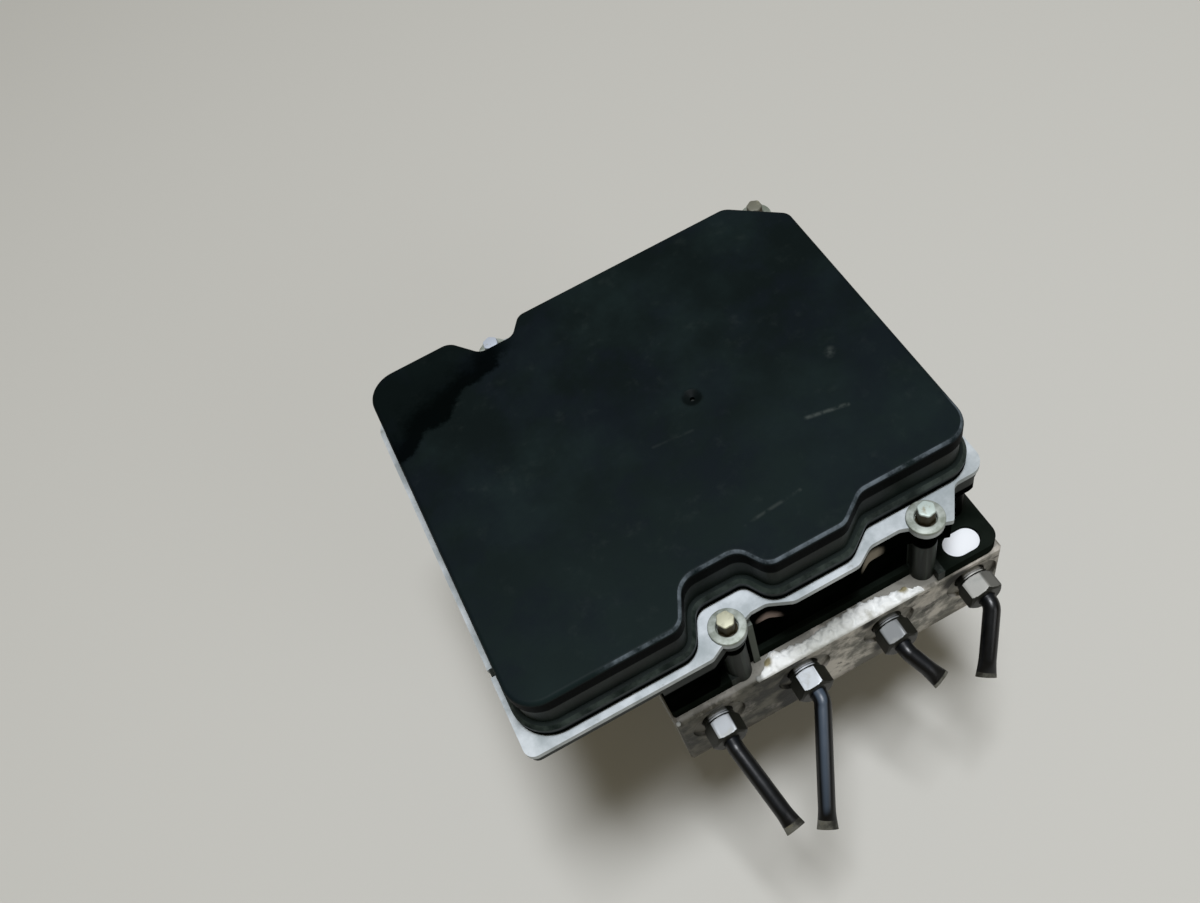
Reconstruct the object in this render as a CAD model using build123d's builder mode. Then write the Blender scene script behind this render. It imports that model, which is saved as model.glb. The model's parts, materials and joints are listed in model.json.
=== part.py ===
from build123d import *
import os
from math import cos, radians, sin

os.makedirs("parts", exist_ok=True)

# The unit stands on the flat end of its pump motor, the control unit on top.
# X runs along the row of pipe ports, which face -Y. Z is the motor axis.

# Heights, stacked upwards from the motor's flat end
motor_height = 62.0
block_height = 31.0
housing_height = 29.0
plate_thickness = 2.0
frame_seal_height = 0.8
frame_height = 12.7
lid_height = 5.5

block_bottom = motor_height
block_top = block_bottom + block_height
housing_top = block_top + housing_height
plate_top = housing_top + plate_thickness
frame_bottom = plate_top + frame_seal_height
frame_top = frame_bottom + frame_height
lid_top = frame_top + lid_height

# Valves and coils, two rows of four
valve_columns = 4
valve_rows = 2
valve_pitch = 25.0
valve_row_gap = 26.0
valve_to_motor = 24.0
valve_to_side = 15.5

# Hydraulic block, sized by the ports, the valves, the motor and the accumulators
port_room = 28.8
accumulator_room = 50.2
block_chamfer = 0.8
valve_row_front = -valve_to_motor - valve_row_gap * (valve_rows - 1)
block_front = valve_row_front - port_room
block_back = accumulator_room
block_depth = block_back - block_front
block_width = valve_pitch * (valve_columns - 1) + 2 * valve_to_side
block_side = block_width / 2
block_middle = (block_front + block_back) / 2

# Pipe ports in the front face, each with a tube nut
port_count = 4
port_left_room = 11.9
port_right_room = 9.5
port_height = 20.0
port_radius = 5.05
port_depth = 14.0
spot_face_radius = 8.5
spot_face_depth = 1.2
port_z = block_bottom + port_height
port_pitch = (block_width - port_left_room - port_right_room) / (port_count - 1)
port_xs = [port_left_room - block_side + port_pitch * i for i in range(port_count)]

nut_across_flats = 10.0
nut_hex_length = 6.4
nut_collar_length = 0.8
nut_chamfer = 0.7
nut_thread_length = 11.0
thread_clearance = 0.1
nut_turns = (2.0, 8.0, 17.0, 22.0)

pipe_radius = 2.5
pipe_flare_radius = 3.6
pipe_flare_length = 2.0
pipe_bore_clearance = 0.15
pipe_bend_radius = 4.0
pipe_bend_start = 2.5
pipe_pinch_length = 4.0
pipe_pinch_width = 6.4
pipe_pinch_thickness = 1.8
pipe_ends = ((3.8, -27.4, -9.0), (-16.2, -30.0, -16.0), (4.5, -12.6, -5.0), (-10.8, -16.1, -12.0))

# Ports for the master cylinder in the bottom face, beside the motor
inlet_spread = 40.0
inlet_inset = 18.8
inlet_radius = 6.0
inlet_depth = 13.0
inlet_spot_radius = 9.5

# Threaded holes for the car's bracket, one in each side face and one in the back
bracket_hole_radius = 3.0
bracket_hole_depth = 12.0
bracket_hole_height = 15.5
bracket_hole_to_back = 20.2

# Four screws hold the control unit on the block
near_boss_to_side = 23.05
near_boss_inset = 5.9
far_boss_to_side = 5.5
far_boss_inset = 4.2
near_boss_x = block_side - near_boss_to_side
near_boss_y = block_front + near_boss_inset
far_boss_x = block_side - far_boss_to_side
far_boss_y = block_back - far_boss_inset
near_bosses = [(-near_boss_x, near_boss_y), (near_boss_x, near_boss_y)]
far_bosses = [(-far_boss_x, far_boss_y), (far_boss_x, far_boss_y)]
bosses = near_bosses + far_bosses

screw_radius = 1.95
screw_clearance = 0.25
screw_thread_depth = 11.0
drill_point_room = 1.0
screw_flange_radius = 2.7
screw_flange_height = 1.0
screw_head_radius = 2.4
screw_head_rise = 4.6
bush_rim_radius = 5.2
bush_rim_height = 1.0
bush_neck_radius = 3.7
bush_bore_radius = 2.95
bush_floor = 0.8
bush_fit = 0.1
pillar_radius = 3.6
lobe_radius = 5.1

# Control unit in plan, set out from the block and the bosses
connector_overhang = 34.35
lid_side_setback = 3.85
lid_setback = 3.8
lid_back_setback = 8.0
lid_left = -block_side - connector_overhang
lid_right = block_side - lid_side_setback
lid_front = block_front + lid_setback
lid_back = block_back - lid_back_setback

pocket_depth = 11.2
pocket_mouth_left = 11.4
pocket_floor_left = 5.9
pocket_floor_right = 10.1
pocket_mouth_right = 14.6
middle_setback = 3.1
step_start = 23.1
step_end = 15.1
right_setback = 9.0
back_setback = 2.9
corner_cut_x = 15.0
corner_cut_y = 13.3
far_pocket_depth = 9.0
far_mouth_right = 10.6
far_floor_right = 6.1
far_floor_left = 4.4
far_mouth_left = 11.4

far_left_corner = 9.0
right_corner = 8.0
pocket_corner = 5.0
pocket_floor_corner = 6.0
cut_corner = 4.0
far_pocket_corner = 3.5

plate_rim = 3.5
plate_corner = 3.0
plate_right_corner = 5.0
lobe_reach = 7.4
lobe_tip_corner = 0.8
left_lobe_front = 1.8
left_lobe_back = 0.7
step_to_lobe = 2.7
step_length = 6.7
right_step_shift = 1.4
right_slope_shift = 1.2
right_lobe_back = 0.8
right_lobe_reach = 5.8
right_lobe_front = 4.4
right_lobe_side = 12.3
right_front_setback = 1.4
far_lobe_reach = 7.9
far_lobe_slope = 3.0
far_left_reach = 6.0
far_left_slope = 3.6
notch_y = -52.0
notch_width = 2.4
notch_depth = 2.0
clip_gap = 0.1
clip_rise = 0.4

# Lid, frame and seal
lid_edge_radius = 1.3
lid_wall = 2.2
lip_gap = 0.2
lip_wall = 1.4
lip_drop = 2.5
vent_to_left = 80.15
vent_to_front = 58.1
vent_dimple_radius = 2.8
vent_dimple_depth = 0.9
vent_hole_radius = 0.7
vent_x = lid_left + vent_to_left
vent_y = lid_front + vent_to_front
membrane_radius = 4.0
membrane_thickness = 0.5
frame_recess = 0.5
frame_foot_spread = 1.6
frame_foot_height = 4.2
frame_foot_bevel = 1.0
seal_inset = 0.7
seal_width = 2.4

# Coil housing
flange_thickness = 3.0
skirt_height = 8.5
housing_inset = 0.5
housing_wall = 2.5
wall_corner = 1.0
foot_height = 4.5
foot_setback = 0.4
foot_cutback = 6.2
ear_start = 1.8
shadow_wall_setback = 2.6
middle_wall_setback = 7.8
right_wall_setback = 12.8
chamber_side_setback = 3.5
web_to_boss = 5.7
web_setback = 5.4
foot_corner_radius = 4.5
rib_thickness = 2.0
gusset_count = 3
gusset_pitch = 31.0
base_seal_width = 1.6
base_seal_height = 1.4
slot_to_side = 10.25
slot_inset = 5.7
slot_length = 11.2
slot_width = 7.8
slot_gap = 0.2
pad_drop = 0.8
slot_x = block_side - slot_to_side
chamber_right = block_side - chamber_side_setback

shroud_length = 78.0
shroud_width = 27.0
shroud_drop = 35.0
shroud_inset = 4.0
shroud_room = 20.8
shroud_wall = 2.2
shroud_floor_depth = 6.0
shroud_corner_radius = 4.0
pin_rows = 2
pins_per_row = 9
pin_row_gap = 9.0
pin_pitch = 7.4
pin_width = 1.6
pin_depth = 0.8
pin_reach = 20.0

# Valve and coil shapes
valve_bore_radius = 6.0
valve_bore_depth = 14.0
valve_fit = 0.05
valve_collar_radius = 7.0
valve_collar_height = 1.5
dome_radius = 4.5
dome_height = 22.0
dome_chamfer = 1.5
coil_radius = 9.0
coil_winding_radius = 8.2
coil_height = 20.0
coil_flange = 1.6
coil_gap = 0.35
coil_pin_spread = 10.0
coil_pin_size = 0.9
pin_window_length = 12.0
pin_window_width = 3.0
valve_spots = [
    (valve_pitch * (column - (valve_columns - 1) / 2), valve_row_front + valve_row_gap * row)
    for row in range(valve_rows)
    for column in range(valve_columns)
]

board_thickness = 1.6
board_inset = 6.0
processor_size = 16.0
processor_x = 25.0
processor_y = 20.0
driver_size = 12.0
driver_x = -20.0
chip_height = 1.6
capacitor_radius = 5.0
capacitor_height = 8.0
capacitor_x = 5.0
capacitor_y = -12.0

# Pump: an eccentric on the motor shaft drives two pistons
pump_height = 10.0
pump_z = block_bottom + pump_height
eccentric_offset = 1.2
eccentric_radius = 6.0
ring_radius = 9.5
ring_height = 12.0
eccentric_room_radius = 15.0
eccentric_room_depth = 20.0
piston_radius = 3.25
piston_length = 22.0
piston_clearance = 0.05
piston_gap = 0.3
pump_bore_radius = 8.0
pump_bore_depth = 23.0
plug_length = 16.5
plug_fit = 0.05
plug_socket_radius = 4.0
plug_socket_depth = 5.0

# Low-pressure accumulators in the back face
accumulator_spread = 52.0
accumulator_height = 15.5
accumulator_radius = 10.0
accumulator_depth = 19.0
accumulator_fit = 0.06
accumulator_piston_length = 8.0
accumulator_cup_radius = 7.6
accumulator_cup_depth = 5.5
accumulator_cap_thickness = 2.5
accumulator_gap = 0.2
spring_radius = 6.2
spring_wire_radius = 0.8
spring_turns = 3.0
spring_end_gap = 0.1
accumulator_z = block_bottom + accumulator_height

# Pump motor
can_radius = 36.0
can_wall = 2.0
can_floor = 2.5
can_edge_radius = 3.0
flange_radius = 38.5
motor_flange_thickness = 2.5
ear_radius = 6.0
motor_screw_circle = 41.0
motor_screw_radius = 2.5
motor_screw_depth = 10.0
motor_screw_head_radius = 4.2
motor_screw_head_height = 3.5
motor_screw_socket_radius = 1.9
motor_screw_socket_depth = 1.75
motor_screw_angles = (90.0, 210.0, 330.0)

shaft_radius = 4.0
shaft_end_gap = 0.5
bearing_radius = 11.0
bearing_height = 7.0
bearing_fit = 0.05
cup_wall = 2.0
magnet_gap = 0.2
magnet_thickness = 5.3
magnet_overhang = 3.5
air_gap = 0.8
core_slots = 8
slot_opening = 4.0
slot_floor_radius = 14.0
slot_overshoot = 1.0
winding_gap = 0.2
winding_end_height = 3.6
winding_inner_radius = 9.5
winding_outer_radius = 24.0
commutator_radius = 10.5
commutator_height = 6.5
winding_to_bearing = 1.9
winding_to_commutator = 1.4
brush_width = 7.0
brush_height = 5.5
brush_length = 11.0
brush_gap = 0.1
brush_fit = 0.1
holder_wall = 1.2
holder_gap = 1.0
holder_room = 2.0
brush_plate_thickness = 5.5
brush_plate_to_block = 3.0
brush_plate_to_commutator = 1.0
brush_plate_gap = 0.2
lead_y = 26.0
lead_spread = 4.4
lead_radius = 1.1
lead_passage_radius = 5.0

magnet_outer = can_radius - can_wall - magnet_gap
magnet_inner = magnet_outer - magnet_thickness
core_radius = magnet_inner - air_gap
brush_plate_bottom = motor_height - brush_plate_to_block - brush_plate_thickness
commutator_top = brush_plate_bottom - brush_plate_to_commutator
core_top = commutator_top - commutator_height - winding_to_commutator - winding_end_height
core_bottom = can_floor + bearing_height + winding_to_bearing + winding_end_height
core_height = core_top - core_bottom
magnet_bottom = core_bottom - magnet_overhang
magnet_height = core_height + 2 * magnet_overhang


def control_outline():
    """Closed plan outline of the lid, with its corner radii."""
    near_left = -near_boss_x
    back = lid_back - back_setback
    right_front = lid_front + right_setback
    middle_front = lid_front + middle_setback
    corners = [
        (lid_left, lid_front, far_left_corner),
        (near_left - pocket_mouth_left, lid_front, pocket_corner),
        (near_left - pocket_floor_left, lid_front + pocket_depth, pocket_floor_corner),
        (near_left + pocket_floor_right, lid_front + pocket_depth, pocket_corner),
        (near_left + pocket_mouth_right, middle_front, pocket_corner),
        (near_boss_x - step_start, middle_front, pocket_corner),
        (near_boss_x - step_end, right_front, pocket_corner),
        (lid_right, right_front, right_corner),
        (lid_right, back - corner_cut_y, cut_corner),
        (lid_right - corner_cut_x, back, pocket_corner),
        (-far_boss_x + far_mouth_right, back, far_pocket_corner),
        (-far_boss_x + far_floor_right, lid_back - far_pocket_depth, far_pocket_corner),
        (-far_boss_x - far_floor_left, lid_back - far_pocket_depth, cut_corner),
        (-far_boss_x - far_mouth_left, lid_back, pocket_corner),
        (lid_left, lid_back, far_left_corner),
    ]
    FilletPolyline([(x, y) for x, y, _ in corners], radius=[r for _, _, r in corners], close=True)


def plate_outline():
    """Closed plan outline of the carrier plate, with a lobe at each screw."""
    left = lid_left - plate_rim
    right = lid_right + plate_rim
    front = lid_front - plate_rim
    middle_front = front + middle_setback
    right_front = front + right_setback + right_front_setback
    far_back = block_back - block_chamfer
    back = lid_back - back_setback + plate_rim
    step_x = -near_boss_x + pocket_mouth_right - step_to_lobe
    corners = [
        (left, front, plate_corner),
        (-near_boss_x - lobe_reach, front, plate_corner),
        (-near_boss_x, near_boss_y - left_lobe_front, plate_corner),
        (-near_boss_x + lobe_reach, near_boss_y + left_lobe_back, lobe_tip_corner),
        (step_x, near_boss_y + left_lobe_back, cut_corner),
        (step_x + step_length, middle_front, cut_corner),
        (near_boss_x - step_start + right_step_shift, middle_front, cut_corner),
        (near_boss_x - step_end - right_slope_shift, near_boss_y + right_lobe_back, cut_corner),
        (near_boss_x - lobe_reach, near_boss_y + right_lobe_back, plate_corner),
        (near_boss_x + right_lobe_reach, near_boss_y - right_lobe_front, lobe_tip_corner),
        (near_boss_x + right_lobe_side, right_front, plate_corner),
        (right, right_front, plate_right_corner),
        (right, far_back, plate_right_corner),
        (far_boss_x - far_lobe_reach, far_back, cut_corner),
        (far_boss_x - far_lobe_reach - far_lobe_slope, back, cut_corner),
        (-far_boss_x + far_mouth_right, back, plate_corner),
        (-far_boss_x + far_floor_right, far_back, plate_corner),
        (-far_boss_x - far_left_reach, far_back, plate_corner),
        (-far_boss_x - far_left_reach - far_left_slope, lid_back + plate_rim, plate_corner),
        (left, lid_back + plate_rim, far_left_corner),
    ]
    FilletPolyline([(x, y) for x, y, _ in corners], radius=[r for _, _, r in corners], close=True)


def chamber_outline():
    """Closed plan outline of the housing's lower walls round the coils."""
    left = -block_side + foot_setback
    front = block_front + middle_wall_setback
    left_front = block_front + shadow_wall_setback
    right_front = block_front + right_wall_setback
    back = lid_back
    corners = [
        (left, left_front, wall_corner),
        (-near_boss_x - lobe_reach, left_front, wall_corner),
        (-near_boss_x - pillar_radius, front, wall_corner),
        (near_boss_x + pillar_radius, front, wall_corner),
        (near_boss_x + lobe_reach, right_front, wall_corner),
        (chamber_right, right_front, plate_corner),
        (chamber_right, back - pillar_radius, plate_corner),
        (far_boss_x - lobe_reach, back, plate_corner),
        (-far_boss_x + lobe_reach, back, plate_corner),
        (left, back - pillar_radius, plate_corner),
    ]
    FilletPolyline([(x, y) for x, y, _ in corners], radius=[r for _, _, r in corners], close=True)


# Lid: a shallow cap with a rounded rim, a locating lip and a vent hole
with BuildPart() as lid:
    with BuildSketch(Plane.XY.offset(frame_top)):
        with BuildLine():
            control_outline()
        make_face()
    extrude(amount=lid_height)
    top_edges = lid.faces().sort_by(Axis.Z)[-1].edges()
    fillet(top_edges, radius=lid_edge_radius)
    with BuildSketch(Plane.XY.offset(frame_top)):
        with BuildLine():
            control_outline()
        make_face()
        offset(amount=-lid_wall)
    extrude(amount=lid_height - lid_wall, mode=Mode.SUBTRACT)
    with BuildSketch(Plane.XY.offset(frame_top - lip_drop)):
        with BuildLine():
            control_outline()
        make_face()
        offset(amount=-lid_wall - frame_recess - lip_gap)
        offset(amount=-lip_wall, mode=Mode.SUBTRACT)
    extrude(amount=lip_drop + lid_height - lid_wall)
    with BuildSketch(Plane.XZ.offset(-vent_y)):
        with BuildLine():
            Polyline(
                (vent_x, lid_top),
                (vent_x + vent_dimple_radius, lid_top),
                (vent_x + vent_hole_radius, lid_top - vent_dimple_depth),
                (vent_x, lid_top - vent_dimple_depth),
                close=True,
            )
        make_face()
    revolve(axis=Axis((vent_x, vent_y, 0), (0, 0, 1)), mode=Mode.SUBTRACT)
    with BuildSketch(Plane.XY.offset(lid_top)):
        with Locations((vent_x, vent_y)):
            Circle(vent_hole_radius)
    extrude(amount=-lid_wall, mode=Mode.SUBTRACT)
lid.part.label = "lid"
export_step(lid.part, "parts/lid.step")

# Vent membrane, stuck to the lid's underside over the hole
with BuildPart() as vent_membrane:
    with BuildSketch(Plane.XY.offset(lid_top - lid_wall)):
        with Locations((vent_x, vent_y)):
            Circle(membrane_radius)
    extrude(amount=-membrane_thickness)
vent_membrane.part.label = "vent_membrane"
export_step(vent_membrane.part, "parts/vent_membrane.step")

# Upper frame: the wall under the lid, with a wider bevelled foot on the seal
with BuildPart() as upper_frame:
    with BuildSketch(Plane.XY.offset(frame_bottom)):
        with BuildLine():
            control_outline()
        make_face()
        offset(amount=-frame_recess)
    extrude(amount=frame_height)
    with BuildSketch(Plane.XY.offset(frame_bottom)):
        with BuildLine():
            control_outline()
        make_face()
        offset(amount=frame_foot_spread)
    extrude(amount=frame_foot_height)
    foot_top = upper_frame.faces().filter_by(Axis.Z).sort_by(Axis.Z)[1]
    chamfer(foot_top.outer_wire().edges(), length=frame_foot_bevel)
    with BuildSketch(Plane.XY.offset(frame_bottom)):
        with BuildLine():
            control_outline()
        make_face()
        offset(amount=-frame_recess - lid_wall)
    extrude(amount=frame_height, mode=Mode.SUBTRACT)
upper_frame.part.label = "upper_frame"
export_step(upper_frame.part, "parts/upper_frame.step")

# Rubber seal between the frame and the carrier plate
with BuildPart() as frame_seal:
    with BuildSketch(Plane.XY.offset(plate_top)):
        with BuildLine():
            control_outline()
        make_face()
        offset(amount=frame_foot_spread - seal_inset)
        offset(amount=-seal_width, mode=Mode.SUBTRACT)
    extrude(amount=frame_seal_height)
frame_seal.part.label = "frame_seal"
export_step(frame_seal.part, "parts/frame_seal.step")

# Carrier plate: aluminium sheet that carries the board, seen as a rim all round
pin_field_x = lid_left + shroud_inset + shroud_width / 2
pin_field_y = block_front + shroud_room + shroud_length / 2
pin_field_length = pin_pitch * pins_per_row
pin_field_width = pin_row_gap + 2 * pin_width
with BuildPart() as carrier_plate:
    with BuildSketch(Plane.XY.offset(housing_top)):
        with BuildLine():
            plate_outline()
        make_face()
        with Locations(*near_bosses):
            Circle(lobe_radius)
        with Locations(*bosses):
            Circle(bush_neck_radius + bush_fit, mode=Mode.SUBTRACT)
        with Locations(*valve_spots):
            Rectangle(pin_window_length, pin_window_width, mode=Mode.SUBTRACT)
        with Locations((pin_field_x, pin_field_y)):
            Rectangle(pin_field_width, pin_field_length, mode=Mode.SUBTRACT)
        with Locations((lid_left - plate_rim, notch_y)):
            Rectangle(2 * notch_depth, notch_width, mode=Mode.SUBTRACT)
    extrude(amount=plate_thickness)
carrier_plate.part.label = "carrier_plate"
export_step(carrier_plate.part, "parts/carrier_plate.step")

# Circuit board, bonded to the plate, with its soldered chips and capacitor
with BuildPart() as circuit_board:
    with BuildSketch(Plane.XY.offset(plate_top)):
        with BuildLine():
            control_outline()
        make_face()
        offset(amount=-board_inset)
        with Locations(*valve_spots):
            Rectangle(pin_window_length, pin_window_width, mode=Mode.SUBTRACT)
    extrude(amount=board_thickness)
    with BuildSketch(Plane.XY.offset(plate_top + board_thickness)):
        with Locations((processor_x, processor_y)):
            Rectangle(processor_size, processor_size)
        with Locations((driver_x, processor_y)):
            Rectangle(driver_size, driver_size)
    extrude(amount=chip_height)
    with BuildSketch(Plane.XY.offset(plate_top + board_thickness)):
        with Locations((capacitor_x, capacitor_y)):
            Circle(capacitor_radius)
    extrude(amount=capacitor_height)
circuit_board.part.label = "circuit_board"
export_step(circuit_board.part, "parts/circuit_board.step")

# Coil housing: one moulding with flange, skirt, coil chamber, foot, pillars and connector shroud
flange_bottom = housing_top - flange_thickness
skirt_bottom = flange_bottom - skirt_height + flange_thickness
shroud_bottom = flange_bottom - shroud_drop
web_back = middle_wall_setback + housing_wall / 2
skirt_width = chamber_right + block_side - foot_setback
pin_spots = [
    (pin_field_x + pin_row_gap * (row - 0.5), pin_field_y + pin_pitch * (place - (pins_per_row - 1) / 2))
    for row in range(pin_rows)
    for place in range(pins_per_row)
]
with BuildPart() as coil_housing:
    # Flange under the whole plate
    with BuildSketch(Plane.XY.offset(flange_bottom)):
        with BuildLine():
            plate_outline()
        make_face()
        offset(amount=-housing_inset)
        with Locations(*near_bosses):
            Circle(lobe_radius - housing_inset)
    extrude(amount=flange_thickness)
    # Skirt over the block, following the plate's front
    with BuildSketch(Plane.XY.offset(skirt_bottom)):
        with BuildLine():
            plate_outline()
        make_face()
        offset(amount=-housing_inset)
        with Locations((chamber_right - skirt_width / 2, block_middle)):
            Rectangle(skirt_width, block_depth + 2 * plate_rim, mode=Mode.INTERSECT)
    extrude(amount=flange_bottom - skirt_bottom)
    # Walls of the coil chamber, set back under the skirt
    with BuildSketch(Plane.XY.offset(block_top)):
        with BuildLine():
            chamber_outline()
        make_face()
    extrude(amount=skirt_bottom - block_top)
    # Foot flange on the block, cut back along the front up to the ear round the oval window
    with BuildSketch(Plane.XY.offset(block_top)):
        with Locations((0, block_middle)):
            RectangleRounded(
                block_width - 2 * foot_setback, block_depth - 2 * foot_setback, foot_corner_radius
            )
        with Locations((ear_start / 2, block_front)):
            Rectangle(2 * near_boss_x + ear_start, 2 * foot_cutback, mode=Mode.SUBTRACT)
        with Locations((-(block_side + near_boss_x) / 2, block_front)):
            Rectangle(block_side - near_boss_x, 2 * shadow_wall_setback, mode=Mode.SUBTRACT)
        with Locations((slot_x, block_front + slot_inset)):
            SlotOverall(slot_length, slot_width, mode=Mode.SUBTRACT)
    extrude(amount=foot_height)
    # Pillars down to the block under the four screws
    with BuildSketch(Plane.XY.offset(block_top)):
        with Locations(*bosses):
            Circle(pillar_radius)
    extrude(amount=flange_bottom - block_top)
    # Web beside the left near pillar, from the wall to just short of the plate's edge
    with BuildSketch(Plane.XY.offset(block_top)):
        with Locations((-near_boss_x + web_to_boss, block_front + (web_setback + web_back) / 2)):
            Rectangle(rib_thickness, web_back - web_setback)
    extrude(amount=flange_bottom - block_top)
    # Connector shroud under the overhang
    with BuildSketch(Plane.XY.offset(shroud_bottom)):
        with Locations((pin_field_x, pin_field_y)):
            RectangleRounded(shroud_width, shroud_length, shroud_corner_radius)
    extrude(amount=shroud_drop)
    # Gussets between the shroud and the flange
    with BuildSketch(Plane.XY.offset(flange_bottom - skirt_height)):
        with Locations((pin_field_x, pin_field_y)):
            with GridLocations(0, gusset_pitch, 1, gusset_count):
                Rectangle(shroud_width + 2 * shroud_inset, rib_thickness)
    extrude(amount=skirt_height)
    # Clip that reaches up through the notch in the plate's left edge
    with BuildSketch(Plane.XY.offset(housing_top)):
        with Locations((lid_left - plate_rim + (housing_inset + notch_depth - clip_gap) / 2, notch_y)):
            Rectangle(notch_depth - clip_gap - housing_inset, notch_width - 2 * clip_gap)
    extrude(amount=plate_thickness + clip_rise)
    # Room for the coils, open to the block and to the plate
    with BuildSketch(Plane.XY.offset(block_top)):
        with BuildLine():
            chamber_outline()
        make_face()
        offset(amount=-housing_wall)
        with Locations(*bosses):
            Circle(pillar_radius, mode=Mode.SUBTRACT)
    extrude(amount=housing_height, mode=Mode.SUBTRACT)
    # Inside of the connector shroud, open downwards
    with BuildSketch(Plane.XY.offset(shroud_bottom)):
        with Locations((pin_field_x, pin_field_y)):
            RectangleRounded(
                shroud_width - 2 * shroud_wall,
                shroud_length - 2 * shroud_wall,
                shroud_corner_radius - shroud_wall,
            )
    extrude(amount=shroud_drop - shroud_floor_depth, mode=Mode.SUBTRACT)
    # Holes for the pins and the screws, groove for the base seal
    with BuildSketch(Plane.XY.offset(shroud_bottom)):
        with Locations(*pin_spots):
            Rectangle(pin_width, pin_depth)
    extrude(amount=shroud_drop + flange_thickness, mode=Mode.SUBTRACT)
    with BuildSketch(Plane.XY.offset(block_top)):
        with Locations(*bosses):
            Circle(screw_radius + screw_clearance)
    extrude(amount=housing_height, mode=Mode.SUBTRACT)
    with BuildSketch(Plane.XY.offset(block_top)):
        with BuildLine():
            chamber_outline()
        make_face()
        offset(amount=-(housing_wall - base_seal_width) / 2)
        offset(amount=-base_seal_width, mode=Mode.SUBTRACT)
    extrude(amount=base_seal_height, mode=Mode.SUBTRACT)
coil_housing.part.label = "coil_housing"
export_step(coil_housing.part, "parts/coil_housing.step")

# Base seal in the groove of the housing
with BuildPart() as base_seal:
    with BuildSketch(Plane.XY.offset(block_top)):
        with BuildLine():
            chamber_outline()
        make_face()
        offset(amount=-(housing_wall - base_seal_width) / 2)
        offset(amount=-base_seal_width, mode=Mode.SUBTRACT)
    extrude(amount=base_seal_height)
base_seal.part.label = "base_seal"
export_step(base_seal.part, "parts/base_seal.step")

# Connector pins, from inside the shroud up to the board
with BuildPart() as connector_pins:
    with BuildSketch(Plane.XY.offset(flange_bottom - shroud_floor_depth - pin_reach)):
        with Locations(*pin_spots):
            Rectangle(pin_width, pin_depth)
    extrude(amount=pin_reach + shroud_floor_depth + flange_thickness + plate_thickness)
connector_pins.part.label = "connector_pins"
export_step(connector_pins.part, "parts/connector_pins.step")

# Bushes that take the pressure of the screws, one in each screw hole of the plate
with BuildPart() as screw_bushes:
    with BuildSketch(Plane.XY.offset(housing_top)):
        with Locations(*bosses):
            Circle(bush_neck_radius)
    extrude(amount=plate_thickness + bush_rim_height)
    with BuildSketch(Plane.XY.offset(plate_top)):
        with Locations(*bosses):
            Circle(bush_rim_radius)
    extrude(amount=bush_rim_height)
    with BuildSketch(Plane.XY.offset(housing_top + bush_floor)):
        with Locations(*bosses):
            Circle(bush_bore_radius)
    extrude(amount=plate_thickness + bush_rim_height, mode=Mode.SUBTRACT)
    with BuildSketch(Plane.XY.offset(housing_top)):
        with Locations(*bosses):
            Circle(screw_radius + screw_clearance)
    extrude(amount=bush_floor, mode=Mode.SUBTRACT)
screw_bushes.part.label = "screw_bushes"
export_step(screw_bushes.part, "parts/screw_bushes.step")

# Long screws with a six-lobed head that stands up out of the bush
screw_seat = housing_top + bush_floor
screw_head_top = plate_top + bush_rim_height + screw_head_rise
with BuildPart() as ecu_screws:
    with BuildSketch(Plane.XY.offset(block_top - screw_thread_depth)):
        with Locations(*bosses):
            Circle(screw_radius)
    extrude(amount=screw_seat - block_top + screw_thread_depth)
    with BuildSketch(Plane.XY.offset(screw_seat)):
        with Locations(*bosses):
            Circle(screw_flange_radius)
    extrude(amount=screw_flange_height)
    with BuildSketch(Plane.XY.offset(screw_seat)):
        with Locations(*bosses):
            Circle(screw_head_radius)
    extrude(amount=screw_head_top - screw_seat)
ecu_screws.part.label = "ecu_screws"
export_step(ecu_screws.part, "parts/ecu_screws.step")

# Solenoid coils, each with two pins through the plate to the board
coil_bottom = block_top + valve_collar_height + coil_gap
for number, spot in enumerate(valve_spots, start=1):
    with BuildPart() as coil:
        with BuildSketch(Plane.XY.offset(coil_bottom)):
            with Locations(spot):
                Circle(coil_radius)
        extrude(amount=coil_flange)
        with BuildSketch(Plane.XY.offset(coil_bottom)):
            with Locations(spot):
                Circle(coil_winding_radius)
        extrude(amount=coil_height)
        with BuildSketch(Plane.XY.offset(coil_bottom + coil_height - coil_flange)):
            with Locations(spot):
                Circle(coil_radius)
        extrude(amount=coil_flange)
        with BuildSketch(Plane.XY.offset(coil_bottom)):
            with Locations(spot):
                Circle(dome_radius + coil_gap)
        extrude(amount=coil_height, mode=Mode.SUBTRACT)
        with BuildSketch(Plane.XY.offset(coil_bottom + coil_height)):
            with Locations(spot):
                with GridLocations(coil_pin_spread, 0, 2, 1):
                    Rectangle(coil_pin_size, coil_pin_size)
        extrude(amount=plate_top + board_thickness - coil_bottom - coil_height)
    coil.part.label = f"coil_{number}"
    export_step(coil.part, f"parts/coil_{number}.step")

# Solenoid valves: a body pressed into the block and a dome that the coil slips over
for number, spot in enumerate(valve_spots, start=1):
    with BuildPart() as valve:
        with BuildSketch(Plane.XY.offset(block_top - valve_bore_depth)):
            with Locations(spot):
                Circle(valve_bore_radius - valve_fit)
        extrude(amount=valve_bore_depth)
        with BuildSketch(Plane.XY.offset(block_top)):
            with Locations(spot):
                Circle(valve_collar_radius)
        extrude(amount=valve_collar_height)
        with BuildSketch(Plane.XY.offset(block_top)):
            with Locations(spot):
                Circle(dome_radius)
        extrude(amount=dome_height)
        chamfer(valve.faces().sort_by(Axis.Z)[-1].edges(), length=dome_chamfer)
    valve.part.label = f"valve_{number}"
    export_step(valve.part, f"parts/valve_{number}.step")

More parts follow.
